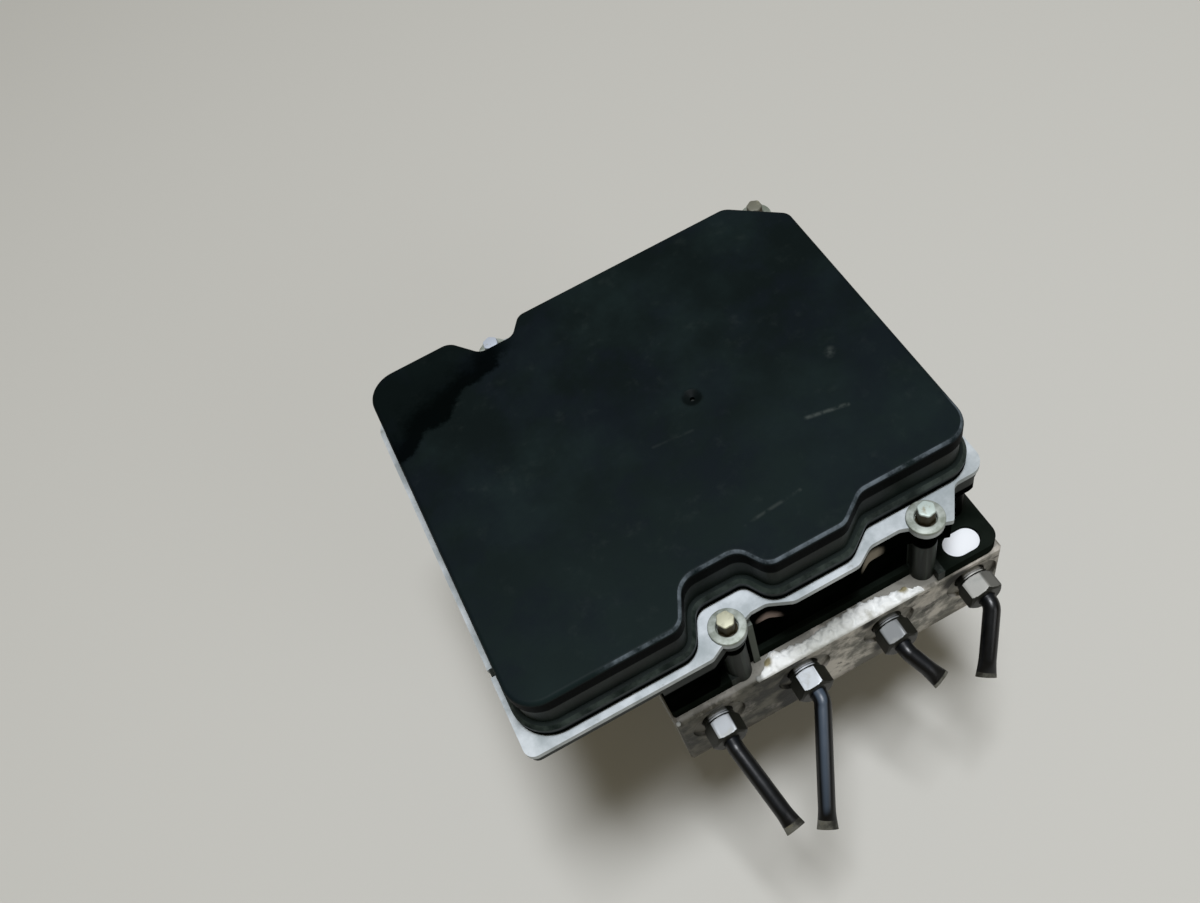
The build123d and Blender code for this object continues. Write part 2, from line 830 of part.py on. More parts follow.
# Hydraulic block with all its bores
piston_bore_depth = block_side - eccentric_room_radius + drill_point_room
front_plane = Plane.XZ.offset(-block_front)
back_plane = Plane.XZ.offset(-block_back)
accumulator_spots = [(-accumulator_spread / 2, accumulator_z), (accumulator_spread / 2, accumulator_z)]
inlet_spots = [(side * inlet_spread / 2, block_front + inlet_inset) for side in (-1, 1)]
motor_screw_spots = [
    (motor_screw_circle * cos(radians(a)), motor_screw_circle * sin(radians(a)))
    for a in motor_screw_angles
]
with BuildPart() as hydraulic_block:
    with BuildSketch(Plane.XY.offset(block_bottom)):
        with Locations((0, block_middle)):
            Rectangle(block_width, block_depth)
    extrude(amount=block_height)
    chamfer(hydraulic_block.edges(), length=block_chamfer)
    # Oval pad that locates the coil housing
    with BuildSketch(Plane.XY.offset(block_top)):
        with Locations((slot_x, block_front + slot_inset)):
            SlotOverall(slot_length - 2 * slot_gap, slot_width - 2 * slot_gap)
    extrude(amount=foot_height - pad_drop)
    # Pipe ports with their spot faces and the drilling behind each
    with BuildSketch(front_plane):
        with Locations(*[(x, port_z) for x in port_xs]):
            Circle(spot_face_radius)
    extrude(amount=-spot_face_depth, mode=Mode.SUBTRACT)
    with BuildSketch(front_plane):
        with Locations(*[(x, port_z) for x in port_xs]):
            Circle(port_radius)
    extrude(amount=-port_depth, mode=Mode.SUBTRACT)
    with BuildSketch(front_plane):
        with Locations(*[(x, port_z) for x in port_xs]):
            Circle(pipe_radius)
    extrude(amount=-(valve_row_front - block_front), mode=Mode.SUBTRACT)
    # Inlet ports from the master cylinder
    with BuildSketch(Plane.XY.offset(block_bottom)):
        with Locations(*inlet_spots):
            Circle(inlet_spot_radius)
    extrude(amount=spot_face_depth, mode=Mode.SUBTRACT)
    with BuildSketch(Plane.XY.offset(block_bottom)):
        with Locations(*inlet_spots):
            Circle(inlet_radius)
    extrude(amount=inlet_depth, mode=Mode.SUBTRACT)
    # Valve bores and screw holes in the top
    with BuildSketch(Plane.XY.offset(block_top)):
        with Locations(*valve_spots):
            Circle(valve_bore_radius)
    extrude(amount=-valve_bore_depth, mode=Mode.SUBTRACT)
    with BuildSketch(Plane.XY.offset(block_top)):
        with Locations(*bosses):
            Circle(screw_radius + thread_clearance)
    extrude(amount=-screw_thread_depth - drill_point_room, mode=Mode.SUBTRACT)
    # Room for the eccentric, passage for the motor leads, motor screw holes
    with BuildSketch(Plane.XY.offset(block_bottom)):
        Circle(eccentric_room_radius)
    extrude(amount=eccentric_room_depth, mode=Mode.SUBTRACT)
    with BuildSketch(Plane.XY.offset(block_bottom)):
        with Locations((0, lead_y)):
            Circle(lead_passage_radius)
    extrude(amount=block_height, mode=Mode.SUBTRACT)
    with BuildSketch(Plane.XY.offset(block_bottom)):
        with Locations(*motor_screw_spots):
            Circle(motor_screw_radius + thread_clearance)
    extrude(amount=motor_screw_depth + drill_point_room, mode=Mode.SUBTRACT)
    # Pump bores from both sides
    for side in (-1, 1):
        with BuildSketch(Plane.YZ.offset(side * block_side)):
            with Locations((0, pump_z)):
                Circle(pump_bore_radius)
        extrude(amount=-side * pump_bore_depth, mode=Mode.SUBTRACT)
        with BuildSketch(Plane.YZ.offset(side * block_side)):
            with Locations((0, pump_z)):
                Circle(piston_radius + piston_clearance)
        extrude(amount=-side * piston_bore_depth, mode=Mode.SUBTRACT)
        with BuildSketch(Plane.YZ.offset(side * block_side)):
            with Locations((block_back - bracket_hole_to_back, block_bottom + bracket_hole_height)):
                Circle(bracket_hole_radius)
        extrude(amount=-side * bracket_hole_depth, mode=Mode.SUBTRACT)
    # Accumulator bores and the third bracket hole in the back
    with BuildSketch(back_plane):
        with Locations(*accumulator_spots):
            Circle(accumulator_radius)
    extrude(amount=accumulator_depth, mode=Mode.SUBTRACT)
    with BuildSketch(back_plane):
        with Locations((0, block_bottom + bracket_hole_height)):
            Circle(bracket_hole_radius)
    extrude(amount=bracket_hole_depth, mode=Mode.SUBTRACT)
hydraulic_block.part.label = "hydraulic_block"
export_step(hydraulic_block.part, "parts/hydraulic_block.step")

# Tube nuts: hexagon, collar and thread, bored for the pipe
hex_start = block_front - nut_collar_length
nut_face = hex_start - nut_hex_length
thread_end = block_front + nut_thread_length
for number, x in enumerate(port_xs, start=1):
    with BuildPart() as tube_nut:
        with BuildSketch(Plane.XZ.offset(-hex_start)):
            with Locations((x, port_z)):
                RegularPolygon(
                    nut_across_flats / 2, 6, major_radius=False, rotation=nut_turns[number - 1]
                )
        extrude(amount=nut_hex_length)
        chamfer(tube_nut.faces().sort_by(Axis.Y)[0].edges(), length=nut_chamfer)
        with BuildSketch(Plane.XZ.offset(-thread_end)):
            with Locations((x, port_z)):
                Circle(port_radius - thread_clearance)
        extrude(amount=thread_end - hex_start)
        with BuildSketch(Plane.XZ.offset(-nut_face)):
            with Locations((x, port_z)):
                Circle(pipe_radius + pipe_bore_clearance)
        extrude(amount=-(thread_end - nut_face), mode=Mode.SUBTRACT)
    tube_nut.part.label = f"tube_nut_{number}"
    export_step(tube_nut.part, f"parts/tube_nut_{number}.step")

# Brake pipes: flared in the port, straight through the nut, bent, and cut off with pinched ends
pipe_start = block_front + port_depth
bend_y = nut_face - pipe_bend_start
for number, x in enumerate(port_xs, start=1):
    bend_point = Vector(x, bend_y, port_z)
    tip = Vector(x, nut_face, port_z) + Vector(*pipe_ends[number - 1])
    heading = (tip - bend_point).normalized()
    cut_start = tip - heading * pipe_pinch_length
    with BuildPart() as brake_pipe:
        with BuildLine():
            FilletPolyline(
                (x, pipe_start, port_z), bend_point, cut_start, radius=pipe_bend_radius
            )
        with BuildSketch(Plane.XZ.offset(-pipe_start)):
            with Locations((x, port_z)):
                Circle(pipe_radius)
        sweep()
        with BuildSketch(Plane.XZ.offset(-pipe_start)):
            with Locations((x, port_z)):
                Circle(pipe_flare_radius)
        extrude(amount=pipe_flare_length)
        with BuildSketch(Plane(origin=cut_start, x_dir=(1, 0, 0), z_dir=heading)):
            Circle(pipe_radius)
        with BuildSketch(
            Plane(origin=cut_start + heading * pipe_pinch_length, x_dir=(1, 0, 0), z_dir=heading)
        ):
            Ellipse(pipe_pinch_width / 2, pipe_pinch_thickness / 2)
        loft()
    brake_pipe.part.label = f"brake_pipe_{number}"
    export_step(brake_pipe.part, f"parts/brake_pipe_{number}.step")

# Pump plugs and pistons, one pair on each side of the eccentric
sides = {"left": -1, "right": 1}
piston_start = ring_radius + eccentric_offset + piston_gap
for name, side in sides.items():
    with BuildPart() as pump_plug:
        with BuildSketch(Plane.YZ.offset(side * (block_side - block_chamfer))):
            with Locations((0, pump_z)):
                Circle(pump_bore_radius - plug_fit)
        extrude(amount=-side * plug_length)
        with BuildSketch(Plane.YZ.offset(side * (block_side - block_chamfer))):
            with Locations((0, pump_z)):
                RegularPolygon(plug_socket_radius, 6, major_radius=False)
        extrude(amount=-side * plug_socket_depth, mode=Mode.SUBTRACT)
    pump_plug.part.label = f"pump_plug_{name}"
    export_step(pump_plug.part, f"parts/pump_plug_{name}.step")

    with BuildPart() as pump_piston:
        with BuildSketch(Plane.YZ.offset(side * piston_start)):
            with Locations((0, pump_z)):
                Circle(piston_radius)
        extrude(amount=side * piston_length)
    pump_piston.part.label = f"pump_piston_{name}"
    export_step(pump_piston.part, f"parts/pump_piston_{name}.step")

# Accumulators: a cupped piston, its spring and the cap that closes the bore
accumulator_floor = block_back - accumulator_depth
piston_front = accumulator_floor + accumulator_gap
piston_back = piston_front + accumulator_piston_length
cap_front = block_back - block_chamfer - accumulator_cap_thickness
cup_floor = piston_back - accumulator_cup_depth
for name, side in sides.items():
    spot = (side * accumulator_spread / 2, accumulator_z)
    with BuildPart() as accumulator_piston:
        with BuildSketch(Plane.XZ.offset(-piston_back)):
            with Locations(spot):
                Circle(accumulator_radius - accumulator_fit)
        extrude(amount=accumulator_piston_length)
        with BuildSketch(Plane.XZ.offset(-piston_back)):
            with Locations(spot):
                Circle(accumulator_cup_radius)
        extrude(amount=accumulator_cup_depth, mode=Mode.SUBTRACT)
    accumulator_piston.part.label = f"accumulator_piston_{name}"
    export_step(accumulator_piston.part, f"parts/accumulator_piston_{name}.step")

    with BuildPart() as accumulator_cap:
        with BuildSketch(Plane.XZ.offset(-cap_front - accumulator_cap_thickness)):
            with Locations(spot):
                Circle(accumulator_radius - accumulator_fit)
        extrude(amount=accumulator_cap_thickness)
    accumulator_cap.part.label = f"accumulator_cap_{name}"
    export_step(accumulator_cap.part, f"parts/accumulator_cap_{name}.step")

# Springs that push the accumulator pistons away from the caps
spring_start = cup_floor + spring_wire_radius + spring_end_gap
spring_height = cap_front - spring_wire_radius - spring_end_gap - spring_start
for name, side in sides.items():
    centre = (side * accumulator_spread / 2, spring_start, accumulator_z)
    with BuildPart() as accumulator_spring:
        with BuildLine():
            coil_line = Helix(
                spring_height / spring_turns, spring_height, spring_radius, center=centre, direction=(0, 1, 0)
            )
        with BuildSketch(Plane(origin=coil_line @ 0, z_dir=coil_line % 0)):
            Circle(spring_wire_radius)
        sweep(is_frenet=True)
    accumulator_spring.part.label = f"accumulator_spring_{name}"
    export_step(accumulator_spring.part, f"parts/accumulator_spring_{name}.step")

# Motor can: drawn steel cup with a screw flange and an inner seat for the lower bearing
flange_bottom_z = block_bottom - motor_flange_thickness
with BuildPart() as motor_can:
    with BuildSketch():
        Circle(can_radius)
    extrude(amount=motor_height)
    fillet(motor_can.faces().sort_by(Axis.Z)[0].edges(), radius=can_edge_radius)
    with BuildSketch(Plane.XY.offset(flange_bottom_z)):
        Circle(flange_radius)
        with Locations(*motor_screw_spots):
            Circle(ear_radius)
        make_hull()
    extrude(amount=motor_flange_thickness)
    with BuildSketch(Plane.XY.offset(can_floor)):
        Circle(can_radius - can_wall)
    extrude(amount=motor_height - can_floor, mode=Mode.SUBTRACT)
    with BuildSketch(Plane.XY.offset(can_floor)):
        Circle(bearing_radius + bearing_fit + cup_wall)
        Circle(bearing_radius + bearing_fit, mode=Mode.SUBTRACT)
    extrude(amount=bearing_height)
    with BuildSketch(Plane.XY.offset(flange_bottom_z)):
        with Locations(*motor_screw_spots):
            Circle(motor_screw_radius + thread_clearance)
    extrude(amount=motor_flange_thickness, mode=Mode.SUBTRACT)
motor_can.part.label = "motor_can"
export_step(motor_can.part, "parts/motor_can.step")

# Screws that hold the motor on the block
with BuildPart() as motor_screws:
    with BuildSketch(Plane.XY.offset(flange_bottom_z)):
        with Locations(*motor_screw_spots):
            Circle(motor_screw_radius)
    extrude(amount=motor_flange_thickness + motor_screw_depth)
    with BuildSketch(Plane.XY.offset(flange_bottom_z)):
        with Locations(*motor_screw_spots):
            Circle(motor_screw_head_radius)
    extrude(amount=-motor_screw_head_height)
    with BuildSketch(Plane.XY.offset(flange_bottom_z - motor_screw_head_height)):
        with Locations(*motor_screw_spots):
            RegularPolygon(motor_screw_socket_radius, 6)
    extrude(amount=motor_screw_socket_depth, mode=Mode.SUBTRACT)
motor_screws.part.label = "motor_screws"
export_step(motor_screws.part, "parts/motor_screws.step")

# Ring magnet inside the can
with BuildPart() as ring_magnet:
    with BuildSketch(Plane.XY.offset(magnet_bottom)):
        Circle(magnet_outer)
        Circle(magnet_inner, mode=Mode.SUBTRACT)
    extrude(amount=magnet_height)
ring_magnet.part.label = "ring_magnet"
export_step(ring_magnet.part, "parts/ring_magnet.step")

# Ball bearings at both ends of the shaft, each one sealed unit
upper_bearing_bottom = brush_plate_bottom
for name, bottom in {"lower": can_floor, "upper": upper_bearing_bottom}.items():
    with BuildPart() as bearing:
        with BuildSketch(Plane.XY.offset(bottom)):
            Circle(bearing_radius)
            Circle(shaft_radius + bearing_fit, mode=Mode.SUBTRACT)
        extrude(amount=bearing_height)
    bearing.part.label = f"{name}_bearing"
    export_step(bearing.part, f"parts/{name}_bearing.step")

# Slotted rotor core on the shaft
with BuildPart() as rotor_core:
    with BuildSketch(Plane.XY.offset(core_bottom)):
        Circle(core_radius)
        Circle(shaft_radius, mode=Mode.SUBTRACT)
        with PolarLocations((slot_floor_radius + core_radius + slot_overshoot) / 2, core_slots):
            Rectangle(core_radius + slot_overshoot - slot_floor_radius, slot_opening, mode=Mode.SUBTRACT)
    extrude(amount=core_height)
rotor_core.part.label = "rotor_core"
export_step(rotor_core.part, "parts/rotor_core.step")

# Winding: bars in the slots, joined by a ring at each end
bar_length = winding_outer_radius - slot_floor_radius - winding_gap
with BuildPart() as rotor_winding:
    with BuildSketch(Plane.XY.offset(core_bottom - winding_end_height)):
        with PolarLocations(slot_floor_radius + winding_gap + bar_length / 2, core_slots):
            Rectangle(bar_length, slot_opening - 2 * winding_gap)
    extrude(amount=core_height + 2 * winding_end_height)
    for bottom in (core_bottom - winding_end_height, core_bottom + core_height + winding_gap):
        with BuildSketch(Plane.XY.offset(bottom)):
            Circle(winding_outer_radius)
            Circle(winding_inner_radius, mode=Mode.SUBTRACT)
        extrude(amount=winding_end_height - winding_gap)
rotor_winding.part.label = "rotor_winding"
export_step(rotor_winding.part, "parts/rotor_winding.step")

# Commutator on the shaft
with BuildPart() as commutator:
    with BuildSketch(Plane.XY.offset(commutator_top - commutator_height)):
        Circle(commutator_radius)
        Circle(shaft_radius, mode=Mode.SUBTRACT)
    extrude(amount=commutator_height)
commutator.part.label = "commutator"
export_step(commutator.part, "parts/commutator.step")

# Shaft with the eccentric that drives the pump
eccentric_bottom = pump_z - ring_height / 2
with BuildPart() as motor_shaft:
    with BuildSketch(Plane.XY.offset(can_floor + shaft_end_gap)):
        Circle(shaft_radius)
    extrude(amount=eccentric_bottom - can_floor - shaft_end_gap)
    with BuildSketch(Plane.XY.offset(eccentric_bottom)):
        with Locations((0, eccentric_offset)):
            Circle(eccentric_radius)
    extrude(amount=ring_height)
motor_shaft.part.label = "motor_shaft"
export_step(motor_shaft.part, "parts/motor_shaft.step")

# Bearing ring that runs on the eccentric and pushes the pistons
with BuildPart() as eccentric_ring:
    with BuildSketch(Plane.XY.offset(eccentric_bottom)):
        with Locations((0, eccentric_offset)):
            Circle(ring_radius)
            Circle(eccentric_radius + bearing_fit, mode=Mode.SUBTRACT)
    extrude(amount=ring_height)
eccentric_ring.part.label = "eccentric_ring"
export_step(eccentric_ring.part, "parts/eccentric_ring.step")

# Brush plate: carries the upper bearing and the two brush holders
brush_plate_top = brush_plate_bottom + brush_plate_thickness
brush_start = commutator_radius + brush_gap
brush_middle_z = commutator_top - commutator_height / 2
holder_drop = brush_plate_bottom - brush_middle_z + brush_height / 2 + holder_wall
holder_width = brush_width + 2 * (brush_fit + holder_wall)
holder_start = brush_start + holder_gap
with BuildPart() as brush_plate:
    with BuildSketch(Plane.XY.offset(brush_plate_bottom)):
        Circle(can_radius - can_wall - brush_plate_gap)
    extrude(amount=brush_plate_thickness)
    for side in (-1, 1):
        with BuildSketch(Plane.XY.offset(brush_plate_bottom)):
            with Locations((side * (holder_start + brush_length / 2), 0)):
                Rectangle(brush_length, holder_width)
        extrude(amount=-holder_drop)
        with BuildSketch(Plane.YZ.offset(side * brush_start)):
            with Locations((0, brush_middle_z)):
                Rectangle(brush_width + 2 * brush_fit, brush_height + 2 * brush_fit)
        extrude(amount=side * (brush_length + holder_room), mode=Mode.SUBTRACT)
    with BuildSketch(Plane.XY.offset(brush_plate_bottom)):
        Circle(bearing_radius + bearing_fit)
    extrude(amount=brush_plate_thickness, mode=Mode.SUBTRACT)
brush_plate.part.label = "brush_plate"
export_step(brush_plate.part, "parts/brush_plate.step")

# Carbon brushes
for name, side in sides.items():
    with BuildPart() as brush:
        with BuildSketch(Plane.YZ.offset(side * brush_start)):
            with Locations((0, brush_middle_z)):
                Rectangle(brush_width, brush_height)
        extrude(amount=side * brush_length)
    brush.part.label = f"brush_{name}"
    export_step(brush.part, f"parts/brush_{name}.step")

# Lead pins from the brush plate up through the block to the board
with BuildPart() as motor_leads:
    with BuildSketch(Plane.XY.offset(brush_plate_top)):
        with Locations((-lead_spread / 2, lead_y), (lead_spread / 2, lead_y)):
            Circle(lead_radius)
    extrude(amount=housing_top - brush_plate_top)
motor_leads.part.label = "motor_leads"
export_step(motor_leads.part, "parts/motor_leads.step")
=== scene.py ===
import json
import math

import bmesh
import bpy
from mathutils import Matrix, Vector, noise


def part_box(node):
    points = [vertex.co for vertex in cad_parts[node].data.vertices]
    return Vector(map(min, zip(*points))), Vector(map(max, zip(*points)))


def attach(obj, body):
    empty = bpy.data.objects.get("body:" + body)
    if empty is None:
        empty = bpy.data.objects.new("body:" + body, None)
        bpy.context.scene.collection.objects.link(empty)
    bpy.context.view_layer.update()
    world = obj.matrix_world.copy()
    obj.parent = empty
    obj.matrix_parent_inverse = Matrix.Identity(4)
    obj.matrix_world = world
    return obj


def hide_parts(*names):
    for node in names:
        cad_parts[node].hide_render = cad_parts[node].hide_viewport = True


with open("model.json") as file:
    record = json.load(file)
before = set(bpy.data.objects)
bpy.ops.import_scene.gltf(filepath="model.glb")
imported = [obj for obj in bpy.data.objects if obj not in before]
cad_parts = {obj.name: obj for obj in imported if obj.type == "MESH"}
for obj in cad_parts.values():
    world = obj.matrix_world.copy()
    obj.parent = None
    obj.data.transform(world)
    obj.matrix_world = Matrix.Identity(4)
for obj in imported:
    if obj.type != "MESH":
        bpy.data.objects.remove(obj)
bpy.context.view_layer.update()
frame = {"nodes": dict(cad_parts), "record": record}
cad = frame["nodes"]

MM = 0.001
UNIT = "unit"

# Camera of the photo, in the part's frame
CAMERA_PLACE = (-0.059334, -0.185273, 0.394019)
CAMERA_RIGHT = (0.880371, -0.427903, -0.204565)
CAMERA_DOWN = (-0.468282, -0.715806, -0.518009)
CAMERA_FORWARD = (0.075229, 0.551834, -0.830554)
CAMERA_LENS = 33.37
CAMERA_SENSOR = 36.0


# Places of the pieces, in millimetres


def edges(node):
    """Lowest and highest corner of a CAD node, to a hundredth."""
    return [[round(value / MM, 2) for value in corner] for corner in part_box(node)]


def middle(node):
    """Centre of a CAD node's box, to a tenth."""
    return [round((low + high) / 2, 1) for low, high in zip(*edges(node))]


BLOCK_FRONT, BLOCK_BOTTOM = edges("hydraulic_block")[0][1:]
# The block's height leaves out its raised pad
BLOCK_HEIGHT = 31.0
BLOCK_TOP = BLOCK_BOTTOM + BLOCK_HEIGHT
HOUSING_TOP, PLATE_TOP = (corner[2] for corner in edges("carrier_plate"))
LID_TOP = edges("lid")[1][2]
SCREW_FOOT, SCREW_TOP = (corner[2] for corner in edges("ecu_screws"))
VENT = middle("vent_membrane")[:2]
# Middle of the housing's upright web beside the near left pillar
WEB_X = -24.25

NUTS = [f"tube_nut_{number}" for number in range(1, 5)]
PORT_XS = [middle(nut)[0] for nut in NUTS]
PORT_Z = middle(NUTS[0])[2]
NUT_FACE, NUT_END = (corner[1] for corner in edges(NUTS[0]))

BUSHES_LOW, BUSHES_HIGH = edges("screw_bushes")
BUSH_TOP = BUSHES_HIGH[2]
BUSH_RIM_RADIUS = 5.2
NEAR_BOSS_X = 29.95
NEAR_BOSS_Y = round(BUSHES_LOW[1] + BUSH_RIM_RADIUS, 1)
FAR_BOSS_X = round(BUSHES_HIGH[0] - BUSH_RIM_RADIUS, 1)
FAR_BOSS_Y = round(BUSHES_HIGH[1] - BUSH_RIM_RADIUS, 1)
BOSSES = (
    (-NEAR_BOSS_X, NEAR_BOSS_Y),
    (NEAR_BOSS_X, NEAR_BOSS_Y),
    (-FAR_BOSS_X, FAR_BOSS_Y),
    (FAR_BOSS_X, FAR_BOSS_Y),
)

# Marks seen in the photo, in millimetres
# Lid scratches: start, end, width, strength
LID_SCRATCHES = (
    ((14.9, -39.8), (26.3, -42.1), 0.95, 0.17),
    ((-14.6, -58.9), (2.3, -57.6), 0.8, 0.09),
    ((31.0, -25.4), (32.0, -24.6), 2.0, 0.13),
    ((-23.7, -25.4), (-12.1, -26.5), 0.7, 0.03),
)
# Painted shadows of the nuts on the block's front: x, z, inner and outer radius
NUT_SHADOWS = (
    (-19.0, 82.0, 3.5, 6.5),
    (-19.5, 73.0, 4.0, 7.0),
    (-19.0, 66.0, 3.5, 6.0),
    (38.0, 88.0, 4.5, 7.5),
    (8.5, 91.0, 2.5, 5.0),
    (13.5, 70.0, 3.0, 6.0),
)
# Painted reflections on the housing's skirt: centre, inner and outer radius, screen colour
SKIRT_REFLECTIONS = (
    ((-18.4, -74.2, 114.4), 2.6, 5.2, (160, 144, 137)),
    ((14.2, -73.6, 115.8), 3.0, 5.8, (150, 143, 130)),
)
# Ochre in the crust: x, y
OCHRE_PLACES = ((-22.4, -74.8), (21.8, -75.4))


# Node helpers


def add(tree, kind, settings=None, **values):
    """Adds a shader node. A value may be a number, a colour or another node's socket."""
    made = tree.nodes.new(kind)
    for name, value in (settings or {}).items():
        setattr(made, name, value)
    for name, value in values.items():
        plug(tree, made.inputs[name.replace("_", " ")], value)
    return made


def plug(tree, socket, value):
    """Links or sets one input."""
    if isinstance(value, bpy.types.NodeSocket):
        tree.links.new(value, socket)
    elif value is not None:
        socket.default_value = value


def calc(tree, operation, a, b=None, clamp=False):
    """One step of arithmetic."""
    made = add(tree, "ShaderNodeMath", {"operation": operation, "use_clamp": clamp})
    plug(tree, made.inputs[0], a)
    plug(tree, made.inputs[1], b)
    return made.outputs[0]


def times(tree, a, b):
    """Product of two values."""
    return calc(tree, "MULTIPLY", a, b)


def plus(tree, a, b):
    """Sum of two values."""
    return calc(tree, "ADD", a, b)


def minus(tree, a, b):
    """First value less the second."""
    return calc(tree, "SUBTRACT", a, b)


def larger(tree, a, b):
    """Larger of two values."""
    return calc(tree, "MAXIMUM", a, b)


def distance_from(tree, value, place):
    """Distance along one axis from a place in millimetres."""
    return calc(tree, "ABSOLUTE", minus(tree, value, place * MM))


def vector(tree, operation, a, b=None):
    """One step of vector arithmetic."""
    made = add(tree, "ShaderNodeVectorMath", {"operation": operation})
    plug(tree, made.inputs[0], a)
    plug(tree, made.inputs["Scale" if operation == "SCALE" else 1], b)
    return made.outputs["Value" if operation in ("DOT_PRODUCT", "LENGTH") else 0]


def fade(tree, value, low, high):
    """Smooth step of a value from 0 at low to 1 at high."""
    made = add(tree, "ShaderNodeMapRange", {"interpolation_type": "SMOOTHSTEP"})
    for socket, given in zip(made.inputs, (value, low, high)):
        plug(tree, socket, given)
    return made.outputs[0]


def above(tree, place, low, high):
    """Mask that rises from 0 to 1 between two places in millimetres."""
    return fade(tree, place, low * MM, high * MM)


def below(tree, place, low, high):
    """Mask that falls from 1 to 0 between two places in millimetres."""
    return minus(tree, 1.0, above(tree, place, low, high))


def blend(tree, factor, first, second):
    """Mix of two colours."""
    made = add(tree, "ShaderNodeMix", {"data_type": "RGBA"})
    plug(tree, made.inputs[0], factor)
    plug(tree, made.inputs[6], first)
    plug(tree, made.inputs[7], second)
    return made.outputs[2]


def tint(tree, colour, mask, strength, new):
    """Lays a new colour over another where a mask is, at a strength."""
    return blend(tree, times(tree, mask, strength), colour, new)


def noise_at(tree, place, scale, detail, roughness):
    """Noise value at a place."""
    made = add(tree, "ShaderNodeTexNoise", Vector=place, Scale=scale, Detail=detail, Roughness=roughness)
    return made.outputs[0]


def place_of(tree):
    """Coordinates on the piece, in metres."""
    return add(tree, "ShaderNodeTexCoord").outputs["Object"]


def axes(tree):
    """The coordinates on the piece, one by one."""
    return add(tree, "ShaderNodeSeparateXYZ", Vector=place_of(tree)).outputs


def tilt(tree):
    """How far the surface looks up: 1 straight up, 0 to the side."""
    normal = add(tree, "ShaderNodeNewGeometry").outputs["Normal"]
    return add(tree, "ShaderNodeSeparateXYZ", Vector=normal).outputs["Z"]


def new_group(name, inputs, outputs):
    """Empty shader node group with named inputs and number outputs."""
    tree = bpy.data.node_groups.new(name, "ShaderNodeTree")
    for label, value in inputs.items():
        kind = "NodeSocketVector" if isinstance(value, tuple) else "NodeSocketFloat"
        socket = tree.interface.new_socket(label, in_out="INPUT", socket_type=kind)
        socket.default_value = value
    for label in outputs:
        tree.interface.new_socket(label, in_out="OUTPUT", socket_type="NodeSocketFloat")
    return tree, tree.nodes.new("NodeGroupInput").outputs, tree.nodes.new("NodeGroupOutput").inputs


def use(tree, group, **values):
    """Places a node group in a material, sets its inputs and returns its outputs."""
    made = tree.nodes.new("ShaderNodeGroup")
    made.node_tree = group
    for name, value in values.items():
        plug(tree, made.inputs[name.replace("_", " ")], value)
    return made.outputs


# Shared effects


def grain_group():
    """Fine surface grain: a height for bump and a tone for colour."""
    tree, given, out = new_group("grain", {"Scale": 900.0, "Coarse Scale": 60.0}, ["Height", "Tone"])
    place = place_of(tree)
    plug(tree, out["Height"], noise_at(tree, place, given["Scale"], 3.0, 0.6))
    plug(tree, out["Tone"], noise_at(tree, place, given["Coarse Scale"], 5.0, 0.6))
    return tree


def dust_group():
    """Dust that settles on faces which look up."""
    tree, given, out = new_group("dust", {"Scale": 70.0, "Low": 0.45, "High": 0.75}, ["Mask"])
    cloud = noise_at(tree, place_of(tree), given["Scale"], 6.0, 0.65)
    cloud = fade(tree, cloud, given["Low"], given["High"])
    plug(tree, out["Mask"], times(tree, cloud, fade(tree, tilt(tree), 0.5, 1.0)))
    return tree


def edge_wear_and_highlight_group():
    """Rubbed wear and painted highlight on rounded edges, found from the tilt of the surface."""
    tree, given, out = new_group("edge_wear_and_highlight", {"Low": 0.15, "High": 0.97, "Scale": 160.0}, ["Mask"])
    up = tilt(tree)
    low = fade(tree, up, given["Low"], plus(tree, given["Low"], 0.25))
    high = fade(tree, up, minus(tree, given["High"], 0.06), given["High"])
    edge = calc(tree, "SUBTRACT", low, high, clamp=True)
    broken = fade(tree, noise_at(tree, place_of(tree), given["Scale"], 5.0, 0.7), 0.35, 0.65)
    plug(tree, out["Mask"], times(tree, edge, broken))
    return tree


def patches_group():
    """Blotches with a soft rim."""
    tree, given, out = new_group("patches", {"Scale": 40.0, "Level": 0.55, "Softness": 0.1}, ["Mask"])
    cloud = noise_at(tree, place_of(tree), given["Scale"], 7.0, 0.62)
    top = plus(tree, given["Level"], given["Softness"])
    plug(tree, out["Mask"], fade(tree, cloud, given["Level"], top))
    return tree


def scratch_group():
    """One straight scratch between two points, seen from above."""
    inputs = {"From": (0.0, 0.0, 0.0), "To": (0.01, 0.0, 0.0), "Width": 0.0004}
    tree, given, out = new_group("scratch", inputs, ["Mask"])
    flat = (1.0, 1.0, 0.0)
    here = vector(tree, "MULTIPLY", place_of(tree), flat)
    start = vector(tree, "MULTIPLY", given["From"], flat)
    run = vector(tree, "SUBTRACT", vector(tree, "MULTIPLY", given["To"], flat), start)
    offset = vector(tree, "SUBTRACT", here, start)
    reached = vector(tree, "DOT_PRODUCT", offset, run)
    along = calc(tree, "DIVIDE", reached, vector(tree, "DOT_PRODUCT", run, run), clamp=True)
    nearest = vector(tree, "SCALE", run, along)
    gap = vector(tree, "LENGTH", vector(tree, "SUBTRACT", offset, nearest))
    near = minus(tree, 1.0, fade(tree, gap, 0.0, given["Width"]))
    broken = fade(tree, noise_at(tree, place_of(tree), 260.0, 3.0, 0.6), 0.35, 0.6)
    plug(tree, out["Mask"], times(tree, near, broken))
    return tree


GRAIN = grain_group()
DUST = dust_group()
EDGE_WEAR_AND_HIGHLIGHT = edge_wear_and_highlight_group()
PATCHES = patches_group()
SCRATCH = scratch_group()


# Materials


